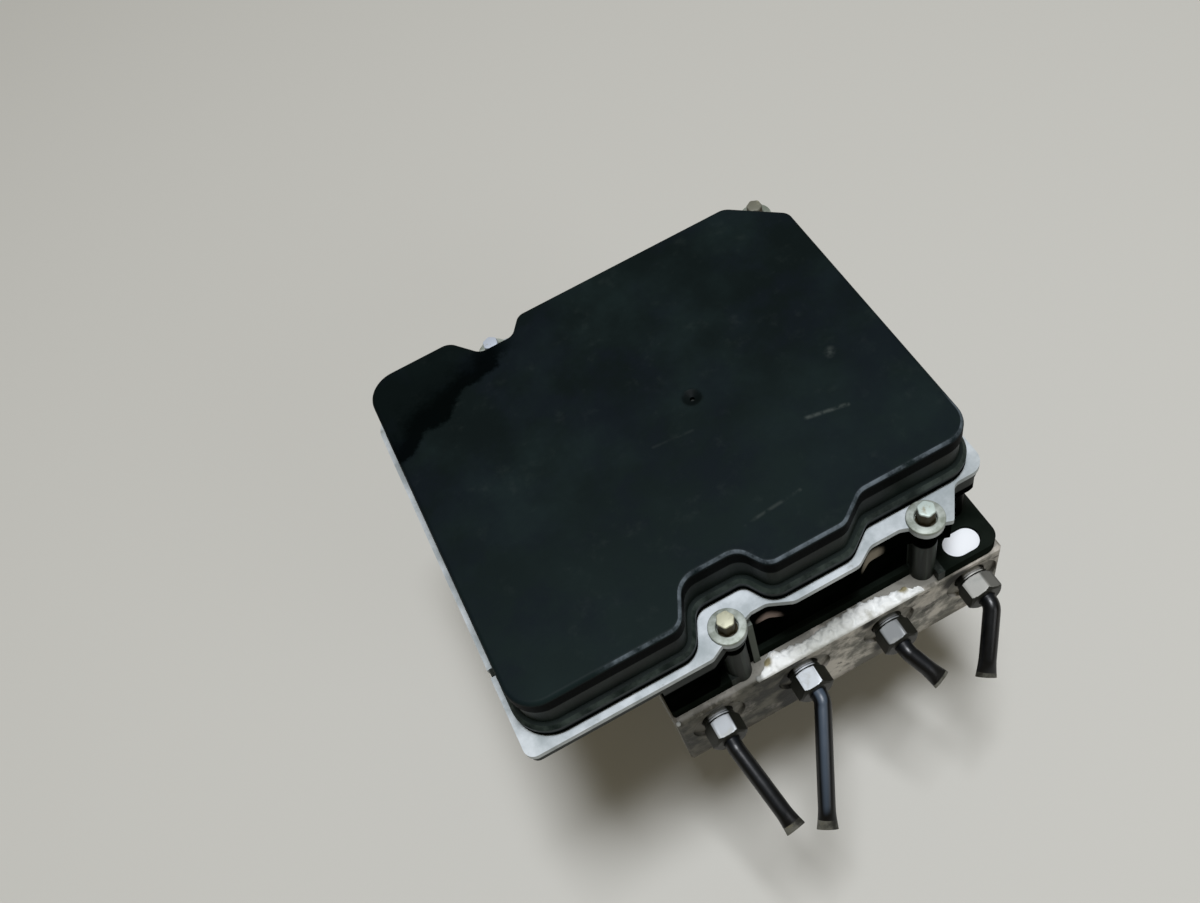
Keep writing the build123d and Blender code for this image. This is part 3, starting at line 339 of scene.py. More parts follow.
def new_material(name, roughness=0.5, metallic=0.0, specular=0.5):
    """Material with one Principled shader. Returns the material, its tree and the shader's inputs."""
    made = bpy.data.materials.new(name)
    made.use_nodes = True
    tree = made.node_tree
    shader = tree.nodes["Principled BSDF"].inputs
    shader["Roughness"].default_value = roughness
    shader["Metallic"].default_value = metallic
    shader["Specular IOR Level"].default_value = specular
    return made, tree, shader


def bump(tree, shader, height, distance, strength):
    """Feeds a height into the shader's normal, at a distance in millimetres."""
    made = add(tree, "ShaderNodeBump", Height=height, Distance=distance * MM, Strength=strength)
    plug(tree, shader["Normal"], made.outputs[0])


def rgb(red, green, blue):
    """Linear colour from the 0 to 255 values of a screen colour."""
    parts = []
    for value in (red, green, blue):
        share = value / 255
        parts.append(share / 12.92 if share <= 0.04045 else ((share + 0.055) / 1.055) ** 2.4)
    return (*parts, 1.0)


def two_tone(tree, grain, low, high, first, second):
    """Blend of two colours by the grain's tone."""
    return blend(tree, fade(tree, grain["Tone"], low, high), first, second)


def vary_roughness(tree, shader, grain, lowest, share):
    """Roughness that follows the grain's tone."""
    plug(tree, shader["Roughness"], plus(tree, lowest, times(tree, grain["Tone"], share)))


def wobble(tree, value, cloud, reach):
    """Moves a value to and fro by a noise."""
    return plus(tree, value, times(tree, minus(tree, cloud, 0.5), reach))


def spot(tree, centre, inner, outer, raggedness=1.2):
    """Ragged round mask about a place, given in millimetres."""
    offset = vector(tree, "SUBTRACT", place_of(tree), tuple(value * MM for value in centre))
    ragged = noise_at(tree, place_of(tree), 500.0 / raggedness, 4.0, 0.6)
    reach = plus(tree, vector(tree, "LENGTH", offset), times(tree, ragged, raggedness * MM))
    return below(tree, reach, inner, outer)


def stain_area(tree):
    """Mask of the oily stain: a slanting band across the lid's far left corner, fading to the corner."""
    x, y, _ = axes(tree)
    slant = plus(tree, y, times(tree, x, -0.352))
    edge = wobble(tree, slant, noise_at(tree, place_of(tree), 90.0, 6.0, 0.7), 0.022)
    edge = wobble(tree, edge, noise_at(tree, place_of(tree), 34.0, 3.0, 0.6), 0.02)
    near = above(tree, edge, 39.5, 43.5)
    far = above(tree, edge, 48.0, 58.0)
    band = times(tree, near, minus(tree, 1.0, times(tree, far, 0.6)))
    return times(tree, band, below(tree, x, -50.0, -38.0))


def scratch_marks(tree):
    """Mask of all the lid's scratches."""
    marks = 0.0
    for start, end, width, strength in LID_SCRATCHES:
        ends = [(x * MM, y * MM, 0.0) for x, y in (start, end)]
        mark = use(tree, SCRATCH, From=ends[0], To=ends[1], Width=width * MM)
        marks = larger(tree, marks, times(tree, mark["Mask"], strength))
    return marks


def lid_black():
    """Matte black lid: oily stain at the far left, a painted highlight with rubbed wear along the near rim,
    light scratches and thin dust; painted shade on its side and in the vent's dimple.
    """
    made, tree, shader = new_material("lid_black")
    grain = use(tree, GRAIN, Scale=1400.0, Coarse_Scale=24.0)
    x, y, z = axes(tree)
    colour = blend(tree, below(tree, y, -70.0, 0.0), rgb(12, 20, 20), rgb(20, 30, 30))
    cloud = use(tree, PATCHES, Scale=44.0, Level=0.42, Softness=0.2)
    colour = tint(tree, colour, cloud["Mask"], 0.6, rgb(16, 22, 29))
    colour = two_tone(tree, grain, 0.45, 0.8, colour, rgb(24, 35, 35))
    dust = use(tree, DUST, Scale=150.0, Low=0.55, High=0.85)
    colour = tint(tree, colour, dust["Mask"], 0.08, rgb(84, 92, 88))
    stain_and_shadow = stain_area(tree)
    colour = tint(tree, colour, stain_and_shadow, 0.88, rgb(1, 3, 3))
    colour = blend(tree, scratch_marks(tree), colour, rgb(128, 136, 130))
    # Painted shade in the vent's dimple
    colour = tint(tree, colour, spot(tree, (*VENT, LID_TOP), 2.6, 4.2), 0.7, rgb(5, 7, 7))
    # Painted shade: the lid's upright side under the rounded rim is near black
    side = below(tree, z, LID_TOP - 1.6, LID_TOP - 0.8)
    colour = blend(tree, side, colour, rgb(4, 6, 6))
    # Painted highlight with rubbed wear: a light line along the lid's near rounded rim only
    edge_rub_and_highlight = use(tree, EDGE_WEAR_AND_HIGHLIGHT, Low=0.3, High=0.985, Scale=90.0)
    rim_wear_and_highlight = times(tree, edge_rub_and_highlight["Mask"], times(tree, below(tree, y, -62.0, -50.0), 0.75))
    rim_wear_and_highlight = times(tree, rim_wear_and_highlight, above(tree, x, -66.0, -59.0))
    colour = blend(tree, rim_wear_and_highlight, colour, rgb(112, 122, 130))
    plug(tree, shader["Base Color"], colour)
    dull = times(tree, larger(tree, stain_and_shadow, side), 0.03)
    plug(tree, shader["Specular IOR Level"], minus(tree, 0.04, dull))
    bump(tree, shader, grain["Height"], 0.06, 0.35)
    return made


def frame_black():
    """Frame under the lid: greenish black, with painted shade in the groove under the lid and along the
    seal.
    """
    made, tree, shader = new_material("frame_black", roughness=0.45)
    grain = use(tree, GRAIN, Scale=1100.0, Coarse_Scale=70.0)
    z = axes(tree)["Z"]
    colour = two_tone(tree, grain, 0.35, 0.7, rgb(14, 22, 20), rgb(25, 35, 32))
    # Lighter rounded edges: rubbed wear and painted highlight
    edge_rub_and_highlight = use(tree, EDGE_WEAR_AND_HIGHLIGHT, Low=0.2, High=0.95, Scale=140.0)
    colour = tint(tree, colour, edge_rub_and_highlight["Mask"], 0.28, rgb(88, 98, 92))
    # Painted shade: near black in the groove under the lid and along the seal line
    seal = below(tree, z, PLATE_TOP + 2.2, PLATE_TOP + 3.6)
    groove = larger(tree, seal, above(tree, z, LID_TOP - 7.2, LID_TOP - 6.4))
    plug(tree, shader["Base Color"], blend(tree, groove, colour, rgb(2, 5, 4)))
    plug(tree, shader["Specular IOR Level"], minus(tree, 0.12, times(tree, groove, 0.12)))
    bump(tree, shader, grain["Height"], 0.05, 0.3)
    return made


def can_black():
    """Black painted motor can with settled dirt."""
    made, tree, shader = new_material("can_black", roughness=0.4)
    grain = use(tree, GRAIN, Scale=1100.0, Coarse_Scale=70.0)
    colour = two_tone(tree, grain, 0.35, 0.7, rgb(16, 16, 17), rgb(32, 32, 33))
    dust = use(tree, DUST, Scale=150.0, Low=0.42, High=0.75)
    colour = tint(tree, colour, dust["Mask"], 0.35, rgb(96, 96, 84))
    edge_rub_and_highlight = use(tree, EDGE_WEAR_AND_HIGHLIGHT, Low=0.2, High=0.95, Scale=140.0)
    plug(tree, shader["Base Color"], tint(tree, colour, edge_rub_and_highlight["Mask"], 0.3, rgb(88, 96, 92)))
    bump(tree, shader, grain["Height"], 0.05, 0.3)
    return made


def pillar_area(tree, x, front, skirt):
    """Mask of the two near pillars below the skirt."""
    off_axis = distance_from(tree, calc(tree, "ABSOLUTE", x), NEAR_BOSS_X)
    beside = below(tree, off_axis, 3.7, 4.0)
    return times(tree, beside, times(tree, front, minus(tree, 1.0, skirt)))


def streaked_sheen_grey(tree):
    """Grey with upright streaks: painted sheen on the pillars."""
    place = vector(tree, "MULTIPLY", place_of(tree), (700.0, 700.0, 40.0))
    streak = noise_at(tree, place, 1.0, 3.0, 0.6)
    return blend(tree, fade(tree, streak, 0.45, 0.7), rgb(20, 26, 22), rgb(46, 54, 49))


def housing_black():
    """Coil housing: painted shade makes the front under the plate black; greyer pillars with painted sheen,
    a greyer ear, a painted highlight on the web's edge, and painted reflections where the skirt curves.
    """
    made, tree, shader = new_material("housing_black")
    grain = use(tree, GRAIN, Scale=900.0, Coarse_Scale=80.0)
    x, y, z = axes(tree)
    tone = fade(tree, grain["Tone"], 0.35, 0.7)
    # Painted shade: the front of the housing under the plate is near black
    recess_shade = below(tree, y, -67.0, -60.0)
    colour = blend(tree, recess_shade, rgb(16, 19, 17), blend(tree, tone, rgb(1, 2, 1), rgb(4, 5, 4)))
    ends = larger(tree, below(tree, x, -26.0, -23.0), above(tree, x, 36.0, 38.0))
    band = times(tree, above(tree, z, HOUSING_TOP - 5.8, HOUSING_TOP - 4.8), ends)
    colour = blend(tree, band, colour, rgb(22, 29, 25))
    ear = below(tree, z, BLOCK_TOP + 4.6, BLOCK_TOP + 5.2)
    colour = blend(tree, ear, colour, blend(tree, tone, rgb(14, 19, 15), rgb(24, 29, 25)))
    front = below(tree, y, -71.5, -69.5)
    skirt = above(tree, z, HOUSING_TOP - 9.5, HOUSING_TOP - 8.4)
    # Painted sheen: the pillars are lighter grey with upright streaks
    pillar = pillar_area(tree, x, front, skirt)
    colour = blend(tree, pillar, colour, streaked_sheen_grey(tree))
    # Painted highlight along the front edge of the upright web
    web = times(tree, below(tree, distance_from(tree, x, WEB_X), 0.8, 1.1), front)
    colour = tint(tree, colour, web, 0.8, rgb(104, 110, 104))
    # Painted reflections where the skirt curves
    for centre, inner, outer, reflection_tone in SKIRT_REFLECTIONS:
        skirt_reflection = spot(tree, centre, inner, outer)
        colour = tint(tree, colour, skirt_reflection, 0.85, rgb(*reflection_tone))
    plug(tree, shader["Base Color"], colour)
    lit = larger(tree, larger(tree, pillar, band), minus(tree, 1.0, recess_shade))
    plug(tree, shader["Specular IOR Level"], times(tree, lit, 0.16))
    bump(tree, shader, grain["Height"], 0.06, 0.35)
    return made


def satin_aluminium():
    """Pressed aluminium sheet: satin, with dull spots and dirt."""
    made, tree, shader = new_material("satin_aluminium", metallic=0.3, specular=0.3)
    grain = use(tree, GRAIN, Scale=1600.0, Coarse_Scale=110.0)
    colour = two_tone(tree, grain, 0.3, 0.75, rgb(150, 158, 160), rgb(200, 206, 209))
    spots = use(tree, PATCHES, Scale=260.0, Level=0.6, Softness=0.12)
    plug(tree, shader["Base Color"], tint(tree, colour, spots["Mask"], 0.5, rgb(120, 122, 110)))
    vary_roughness(tree, shader, grain, 0.42, 0.25)
    bump(tree, shader, grain["Height"], 0.03, 0.3)
    return made


def stained_block():
    """Extruded aluminium block: dull beige grey, with dirt, pits and white bloom, darker on the left from
    dirt and painted shade, with painted shadows round the nuts. The pad is unstained metal painted near
    white, a painted reflection.
    """
    made, tree, shader = new_material("stained_block", metallic=0.25, specular=0.4)
    grain = use(tree, GRAIN, Scale=700.0, Coarse_Scale=120.0)
    x, y, z = axes(tree)
    # Darker on the left: dirt, and painted shade under the housing's overhang
    right = above(tree, x, -22.0, 0.0)
    front = below(tree, y, BLOCK_FRONT + 0.3, BLOCK_FRONT + 1.8)
    dark = blend(tree, right, rgb(32, 32, 25), rgb(98, 97, 89))
    light = blend(tree, right, rgb(98, 96, 86), rgb(200, 195, 186))
    colour = two_tone(tree, grain, 0.38, 0.62, dark, light)
    colour = blend(tree, front, rgb(128, 126, 118), colour)
    bloom = use(tree, PATCHES, Scale=85.0, Level=0.56, Softness=0.1)["Mask"]
    bright = plus(tree, 0.2, times(tree, right, 0.45))
    colour = tint(tree, colour, bloom, bright, rgb(200, 194, 186))
    dirt = use(tree, PATCHES, Scale=150.0, Level=0.56, Softness=0.08)["Mask"]
    strong = plus(tree, 0.25, times(tree, front, 0.5))
    colour = tint(tree, colour, dirt, strong, rgb(42, 39, 29))
    low = below(tree, z, BLOCK_BOTTOM + 0.5, BLOCK_BOTTOM + 6.0)
    colour = tint(tree, colour, low, 0.4, rgb(70, 60, 42))
    # Painted shadows of the nuts on the block's front
    for shadow_x, shadow_z, inner, outer in NUT_SHADOWS:
        stain_and_shadow = spot(tree, (shadow_x, BLOCK_FRONT, shadow_z), inner, outer, 2.5)
        colour = tint(tree, colour, stain_and_shadow, 0.95, rgb(12, 12, 6))
    # The pad is painted near white: a painted reflection on its flat top
    pad = above(tree, z, BLOCK_TOP + 2.5, BLOCK_TOP + 3.2)
    plug(tree, shader["Base Color"], blend(tree, pad, colour, rgb(230, 233, 236)))
    vary_roughness(tree, shader, grain, 0.48, 0.3)
    height = plus(tree, grain["Height"], times(tree, bloom, 0.8))
    bump(tree, shader, times(tree, height, minus(tree, 1.0, pad)), 0.18, 0.6)
    return made


def white_crust():
    """Powdery white corrosion: greyer near the middle, grey at its left end, with two ochre spots."""
    made, tree, shader = new_material("white_crust", roughness=0.85, specular=0.2)
    grain = use(tree, GRAIN, Scale=1300.0, Coarse_Scale=170.0)
    x = axes(tree)["X"]
    off_middle = calc(tree, "ABSOLUTE", plus(tree, x, 5.0 * MM))
    white = blend(tree, above(tree, off_middle, 5.0, 14.0), rgb(196, 198, 193), rgb(234, 236, 234))
    colour = two_tone(tree, grain, 0.25, 0.45, rgb(184, 184, 176), white)
    # Grey at the left end, which takes in the crumbs that stand as painted glints
    colour = blend(tree, above(tree, x, -26.2, -24.5), rgb(150, 152, 148), colour)
    for place in OCHRE_PLACES:
        ochre = spot(tree, (*place, BLOCK_TOP + 1.4), 1.6, 2.9)
        colour = tint(tree, colour, ochre, 0.85, rgb(112, 98, 26))
    plug(tree, shader["Base Color"], colour)
    bump(tree, shader, grain["Height"], 0.3, 0.5)
    return made


def post_zinc():
    """Plated screws: pale flat tops, painted shade and painted dark reflection down the side. Each top has
    its own tint; the far left one is a painted bluish reflection.
    """
    made, tree, shader = new_material("post_zinc", metallic=0.2, specular=0.4)
    grain = use(tree, GRAIN, Scale=1500.0, Coarse_Scale=500.0)
    x, y, z = axes(tree)
    right = above(tree, x, -5.0, 5.0)
    near_tops = blend(tree, right, rgb(186, 186, 162), rgb(184, 197, 191))
    # The far left top's bluish white is a painted reflection
    far_tops = blend(tree, right, rgb(186, 194, 206), rgb(112, 112, 100))
    top = blend(tree, above(tree, y, -20.0, 20.0), near_tops, far_tops)
    top = two_tone(tree, grain, 0.55, 0.75, top, rgb(150, 148, 128))
    # Painted shade and dark reflection down the side, below the flat top
    high = above(tree, z, SCREW_TOP - 0.9, SCREW_TOP - 0.2)
    plug(tree, shader["Base Color"], blend(tree, high, rgb(52, 44, 22), top))
    vary_roughness(tree, shader, grain, 0.4, 0.2)
    bump(tree, shader, grain["Height"], 0.04, 0.4)
    return made


def nut_zinc():
    """Zinc plated nuts: pale on the face that looks up, painted shade round the sides."""
    made, tree, shader = new_material("nut_zinc", metallic=0.3)
    grain = use(tree, GRAIN, Scale=1500.0, Coarse_Scale=240.0)
    x = axes(tree)["X"]
    left_pair = blend(tree, above(tree, x, -30.0, -25.0), rgb(160, 164, 167), rgb(182, 187, 191))
    right_pair = blend(tree, above(tree, x, 28.0, 32.0), rgb(131, 134, 135), rgb(176, 176, 171))
    upward_tone = blend(tree, above(tree, x, -2.0, 2.0), left_pair, right_pair)
    upward_tone = two_tone(tree, grain, 0.5, 0.75, upward_tone, rgb(160, 162, 158))
    # Painted shade: every face but the one that looks up is near black
    up = fade(tree, tilt(tree), 0.72, 0.9)
    plug(tree, shader["Base Color"], blend(tree, up, rgb(20, 21, 14), upward_tone))
    vary_roughness(tree, shader, grain, 0.38, 0.2)
    bump(tree, shader, grain["Height"], 0.03, 0.3)
    return made


def bright_zinc(name, dark, light, roughness, tarnish=0.4):
    """Zinc plated steel with dull patches."""
    made, tree, shader = new_material(name, metallic=0.3)
    grain = use(tree, GRAIN, Scale=1500.0, Coarse_Scale=240.0)
    colour = two_tone(tree, grain, 0.35, 0.65, dark, light)
    spots = use(tree, PATCHES, Scale=420.0, Level=0.6, Softness=0.1)
    plug(tree, shader["Base Color"], tint(tree, colour, spots["Mask"], tarnish, rgb(118, 112, 90)))
    vary_roughness(tree, shader, grain, roughness, 0.2)
    bump(tree, shader, grain["Height"], 0.03, 0.3)
    return made


def pipe_coat():
    """Glossy black plastic coat on the pipes, with a painted bluish highlight along the top, strongest on
    the second pipe.
    """
    made, tree, shader = new_material("pipe_coat", specular=0.4)
    grain = use(tree, GRAIN, Scale=800.0, Coarse_Scale=200.0)
    colour = two_tone(tree, grain, 0.4, 0.7, rgb(2, 3, 5), rgb(6, 8, 12))
    # Painted highlight: a bluish band along the top of the pipes, strongest on the second
    off_second = distance_from(tree, axes(tree)["X"], PORT_XS[1] - 8.0)
    pale = plus(tree, 0.05, times(tree, below(tree, off_second, 12.0, 13.0), 0.75))
    colour = tint(tree, colour, fade(tree, tilt(tree), 0.72, 0.95), pale, rgb(74, 86, 100))
    plug(tree, shader["Base Color"], colour)
    vary_roughness(tree, shader, grain, 0.22, 0.25)
    bump(tree, shader, grain["Height"], 0.08, 0.3)
    return made


def plain_finish(name, dark, light, roughness, metallic=0.0, scale=120.0):
    """Two-tone finish for pieces inside the unit."""
    made, tree, shader = new_material(name, roughness=roughness, metallic=metallic)
    grain = use(tree, GRAIN, Scale=1000.0, Coarse_Scale=scale)
    plug(tree, shader["Base Color"], two_tone(tree, grain, 0.35, 0.65, dark, light))
    bump(tree, shader, grain["Height"], 0.04, 0.3)
    return made


def floor_grey():
    """Plain pale floor."""
    made, _, shader = new_material("floor_grey", roughness=0.85, specular=0.15)
    shader["Base Color"].default_value = rgb(199, 198, 192)
    return made


LOOKS = {
    "lid_plastic": lid_black(),
    "frame_plastic": frame_black(),
    "housing_plastic": housing_black(),
    "seal_rubber": plain_finish("seal_black", rgb(10, 10, 10), rgb(18, 18, 18), 0.7),
    "plate_aluminium": satin_aluminium(),
    "block_aluminium": stained_block(),
    "nut_zinc": nut_zinc(),
    "screw_zinc": post_zinc(),
    "bush_metal": bright_zinc("bush_dull", rgb(120, 127, 116), rgb(172, 179, 172), 0.42),
    "pipe_coat": pipe_coat(),
    # The vent membrane is painted dark: painted shade in the vent's dimple
    "membrane": plain_finish("membrane_painted_shade", rgb(14, 20, 16), rgb(24, 30, 26), 0.8),
    "board": plain_finish("board_green", rgb(20, 80, 44), rgb(34, 104, 60), 0.35),
    "pin_brass": plain_finish("pin_brass", rgb(176, 150, 88), rgb(212, 190, 120), 0.3, 0.9),
    "coil_mould": plain_finish("coil_mould", rgb(28, 28, 30), rgb(42, 42, 44), 0.5),
    "valve_steel": plain_finish("valve_steel", rgb(150, 150, 150), rgb(190, 190, 190), 0.3, 0.9),
    "plug_steel": plain_finish("plug_steel", rgb(120, 120, 116), rgb(170, 170, 164), 0.38, 0.9),
    "cap_steel": plain_finish("cap_steel", rgb(118, 118, 114), rgb(168, 166, 160), 0.4, 0.9),
    "inner_steel": plain_finish("inner_steel", rgb(140, 140, 142), rgb(186, 186, 188), 0.28, 0.9),
    "spring_steel": plain_finish("spring_steel", rgb(84, 86, 90), rgb(126, 128, 132), 0.35, 0.9),
    "inner_aluminium": plain_finish("inner_aluminium", rgb(180, 180, 180), rgb(210, 210, 210), 0.35, 0.9),
    "can_steel": can_black(),
    "magnet": plain_finish("magnet_grey", rgb(52, 52, 54), rgb(70, 70, 72), 0.5),
    "winding_copper": plain_finish("winding_copper", rgb(150, 84, 48), rgb(196, 118, 70), 0.35, 0.9, 400.0),
    "brush_plastic": plain_finish("brush_plate_brown", rgb(70, 58, 46), rgb(92, 78, 62), 0.6),
    "carbon": plain_finish("carbon_black", rgb(34, 34, 34), rgb(52, 52, 52), 0.55),
}
CRUST = white_crust()
BARE_STEEL = bright_zinc("bare_steel", rgb(30, 30, 26), rgb(104, 104, 96), 0.35, 0.6)


def dress_cad_nodes():
    """Gives every CAD node the finish of its slot."""
    slots = {entry["node"]: entry["material_slot"] for entry in frame["record"]["subparts"]}
    for name, node in cad.items():
        node.data.materials.clear()
        node.data.materials.append(LOOKS[slots[name]])


# Mesh helpers


def finish_piece(name, mesh, looks, slot, *replaced):
    """Makes an object of a bmesh, gives it its finishes and joins it to the unit."""
    bmesh.ops.recalc_face_normals(mesh, faces=mesh.faces)
    data = bpy.data.meshes.new(name)
    mesh.to_mesh(data)
    mesh.free()
    piece = bpy.data.objects.new(name, data)
    bpy.context.scene.collection.objects.link(piece)
    for look in looks:
        data.materials.append(look)
    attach(piece, UNIT)
    if replaced:
        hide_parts(*replaced)
    return piece


def shade(piece, angle):
    """Smooth shading with sharp edges kept above an angle in degrees."""
    piece.data.shade_smooth()
    piece.data.set_sharp_from_angle(angle=math.radians(angle))


def bridge(mesh, first, second, material=0):
    """Joins two equal rings of vertices with a band of faces."""
    count = len(first)
    for i in range(count):
        j = (i + 1) % count
        mesh.faces.new((first[i], first[j], second[j], second[i])).material_index = material


def add_rings(mesh, rings, close_start, close_end):
    """Skins a list of equal rings of points."""
    made = [[mesh.verts.new(point) for point in ring] for ring in rings]
    for first, second in zip(made, made[1:]):
        bridge(mesh, first, second)
    if close_start:
        mesh.faces.new(made[0])
    if close_end:
        mesh.faces.new(list(reversed(made[-1])))
    return made


def turned(mesh, centre, axis, across, profile, segments, ends, radius_at=None):
    """Skins a profile of (distance, radius) round an axis, all in millimetres."""
    along = Vector(axis).normalized()
    side = Vector(across).normalized()
    up = along.cross(side)
    rings = []
    for distance, radius in profile:
        ring = []
        for i in range(segments):
            turn = math.tau * i / segments
            reach = radius_at(distance, radius, turn) if radius_at else radius
            outward = (side * math.cos(turn) + up * math.sin(turn)) * reach
            ring.append((Vector(centre) + along * distance + outward) * MM)
        rings.append(ring)
    return add_rings(mesh, rings, *ends)


# Tube nuts

NUT_TURNS = (28.0, 22.0, 13.0, 8.0)
NUT_APOTHEM = 5.0
NUT_BORE = 2.66
NUT_BORE_DEPTH = 1.5
NUT_FACE_RADIUS = 4.55
NUT_BACK_RADIUS = 4.75
NUT_CHAMFER_SLOPE = 1.6
NUT_NECK_RADIUS = 4.6
NUT_COLLAR = 0.8
NUT_COLLAR_RADIUS = 4.9
NUT_THREAD_RADIUS = 4.7
NUT_SEGMENTS = 96


def hexagon(start):
    """Limit that leaves six flats on a turned nut, the first one at a starting turn."""

    def reach(_, radius, turn):
        share = (turn - start + math.pi / 6) % (math.pi / 3) - math.pi / 6
        return min(radius, NUT_APOTHEM / math.cos(share))

    return reach


def nut_profile():
    """Hexagon from its bored face to its collar, with both chamfers."""
    face = round(NUT_FACE - BLOCK_FRONT, 1)
    slope = NUT_CHAMFER_SLOPE
    profile = [(face + NUT_BORE_DEPTH, NUT_BORE), (face, NUT_BORE), (face, NUT_FACE_RADIUS)]
    profile += [(face + step, NUT_FACE_RADIUS + slope * step) for step in (0.2, 0.4, 0.6, 0.8)]
    profile += [(-NUT_COLLAR - step, NUT_BACK_RADIUS + slope * step) for step in (0.7, 0.5, 0.3, 0.1)]
    return profile + [(-NUT_COLLAR, NUT_NECK_RADIUS)]


def collar_profile():
    """Collar against the block, and the thread inside it."""
    return [
        (-NUT_COLLAR, NUT_NECK_RADIUS),
        (-NUT_COLLAR + 0.2, NUT_COLLAR_RADIUS),
        (-0.2, NUT_COLLAR_RADIUS),
        (0.1, NUT_THREAD_RADIUS),
        (round(NUT_END - BLOCK_FRONT, 1), NUT_THREAD_RADIUS),
    ]


def tube_nuts():
    """Hexagon tube nuts with turned chamfers, a collar and the thread in the block."""
    for number, (x, start) in enumerate(zip(PORT_XS, NUT_TURNS), start=1):
        mesh = bmesh.new()
        port = ((x, BLOCK_FRONT, PORT_Z), (0, 1, 0), (1, 0, 0))
        turned(mesh, *port, nut_profile(), NUT_SEGMENTS, (True, False), hexagon(math.radians(start)))
        turned(mesh, *port, collar_profile(), NUT_SEGMENTS, (False, True))
        bmesh.ops.remove_doubles(mesh, verts=mesh.verts, dist=1e-7)
        name = f"tube_nut_hex_{number}"
        piece = finish_piece(name, mesh, [LOOKS["nut_zinc"]], "nut_zinc", f"tube_nut_{number}")
        shade(piece, 28.0)


# Brake pipes: each end is a place in millimetres from the middle of its nut's face

PIPE_RADIUS = 2.5
PIPE_INSIDE = 14.0
PIPE_ENDS = ((3.8, -27.4, -9.0), (-16.2, -30.0, -16.0), (4.5, -12.6, -5.0), (-10.8, -16.1, -12.0))
PIPE_SAGS = (0.4, 1.2, 0.3, 0.5)
PIPE_BEND_START = 2.5
PIPE_BEND_RADIUS = 4.0
PIPE_BEND_STEPS = 8
PIPE_RUN_STEPS = 24
PIPE_SEGMENTS = 32
PINCH_LENGTH = 5.5
PINCH_POWER = 1.4
PINCH_WIDE = 3.1
PINCH_THICK = 0.95
LIP_SHARE = 0.72
LIP_DEPTH = 2.2
BARE_RINGS = 3


def pipe_path(x, end, sag_depth):
    """Centre line of one pipe from its port to its cut end."""
    exit_place = Vector((x, NUT_FACE, PORT_Z))
    corner = exit_place - Vector((0, PIPE_BEND_START, 0))
    tip = exit_place + Vector(end)
    out = (tip - corner).normalized()
    into = Vector((0, -1, 0))
    reach = PIPE_BEND_RADIUS * math.tan(math.acos(into.dot(out)) / 2)
    bend_from = corner - into * reach
    bend_to = corner + out * reach
    points = [Vector((x, BLOCK_FRONT + PIPE_INSIDE, PORT_Z)), bend_from]
    for step in range(1, PIPE_BEND_STEPS + 1):
        share = step / PIPE_BEND_STEPS
        points.append(bend_from.lerp(corner, share).lerp(corner.lerp(bend_to, share), share))
    start = points[-1]
    length = (tip - start).length
    sag = Vector((0, 0, 1)) - out * out.z
    for step in range(1, PIPE_RUN_STEPS + 1):
        share = step / PIPE_RUN_STEPS
        bow = sag * sag_depth * 4 * share * (1 - share)
        points.append(start + out * length * share + bow)
    return points


def pipe_rings(points):
    """Round rings along a centre line that flatten towards the cut end."""
    steps = [(b - a).length for a, b in zip(points, points[1:])]
    side = Vector((1, 0, 0))
    rings = []
    for i, point in enumerate(points):
        along = (points[min(i + 1, len(points) - 1)] - points[max(i - 1, 0)]).normalized()
        side = (side - along * side.dot(along)).normalized()
        up = along.cross(side)
        pinch = max(0.0, 1.0 - sum(steps[i:]) / PINCH_LENGTH) ** PINCH_POWER
        wide = PIPE_RADIUS + (PINCH_WIDE - PIPE_RADIUS) * pinch
        thick = PIPE_RADIUS + (PINCH_THICK - PIPE_RADIUS) * pinch
        turns = [math.tau * k / PIPE_SEGMENTS for k in range(PIPE_SEGMENTS)]
        rings.append([(point + side * math.cos(t) * wide + up * math.sin(t) * thick) * MM for t in turns])
    return rings


def open_end(mesh, rings, points):
    """Hollows the cut end and bares the steel of its last rings."""
    centre = points[-1]
    along = (centre - points[-2]).normalized()
    mouth = [(centre + (vertex.co / MM - centre) * LIP_SHARE) * MM for vertex in rings[-1]]
    outer = [mesh.verts.new(place) for place in mouth]
    floor = [mesh.verts.new(place - along * LIP_DEPTH * MM) for place in mouth]
    bridge(mesh, rings[-1], outer, 1)
    bridge(mesh, outer, floor, 1)
    mesh.faces.new(floor).material_index = 1
    bare = {vertex for ring in rings[-BARE_RINGS:] for vertex in ring}
    for face in mesh.faces:
        if len(face.verts) == 4 and all(vertex in bare for vertex in face.verts):
            face.material_index = 1


def brake_pipes():
    """Coated pipes, cut off: the ends are pinched flat and show bare steel."""
    for number, (x, end, sag_depth) in enumerate(zip(PORT_XS, PIPE_ENDS, PIPE_SAGS), start=1):
        points = pipe_path(x, end, sag_depth)
        mesh = bmesh.new()
        rings = add_rings(mesh, pipe_rings(points), True, False)
        open_end(mesh, rings, points)
        looks = [LOOKS["pipe_coat"], BARE_STEEL]
        piece = finish_piece(f"brake_pipe_tube_{number}", mesh, looks, "pipe_coat", f"brake_pipe_{number}")
        shade(piece, 40.0)


# Screws and bushes

ROUND_SEGMENTS = 60
SCREW_SEAT = HOUSING_TOP + 0.8
SHANK_RADIUS = 1.95
FLANGE_RADIUS = 2.7
POST_RADIUS = 2.35
LOBE_SHARE = 0.05
BUSH_BORE = 2.25
BUSH_BODY = 3.7
BUSH_COUNTERBORE = 2.95


def lobes(distance, radius, turn):
    """Six shallow lobes on the post above the screw's flange."""
    return radius * (1 + LOBE_SHARE * math.cos(6 * turn)) if distance > 1.0 else radius


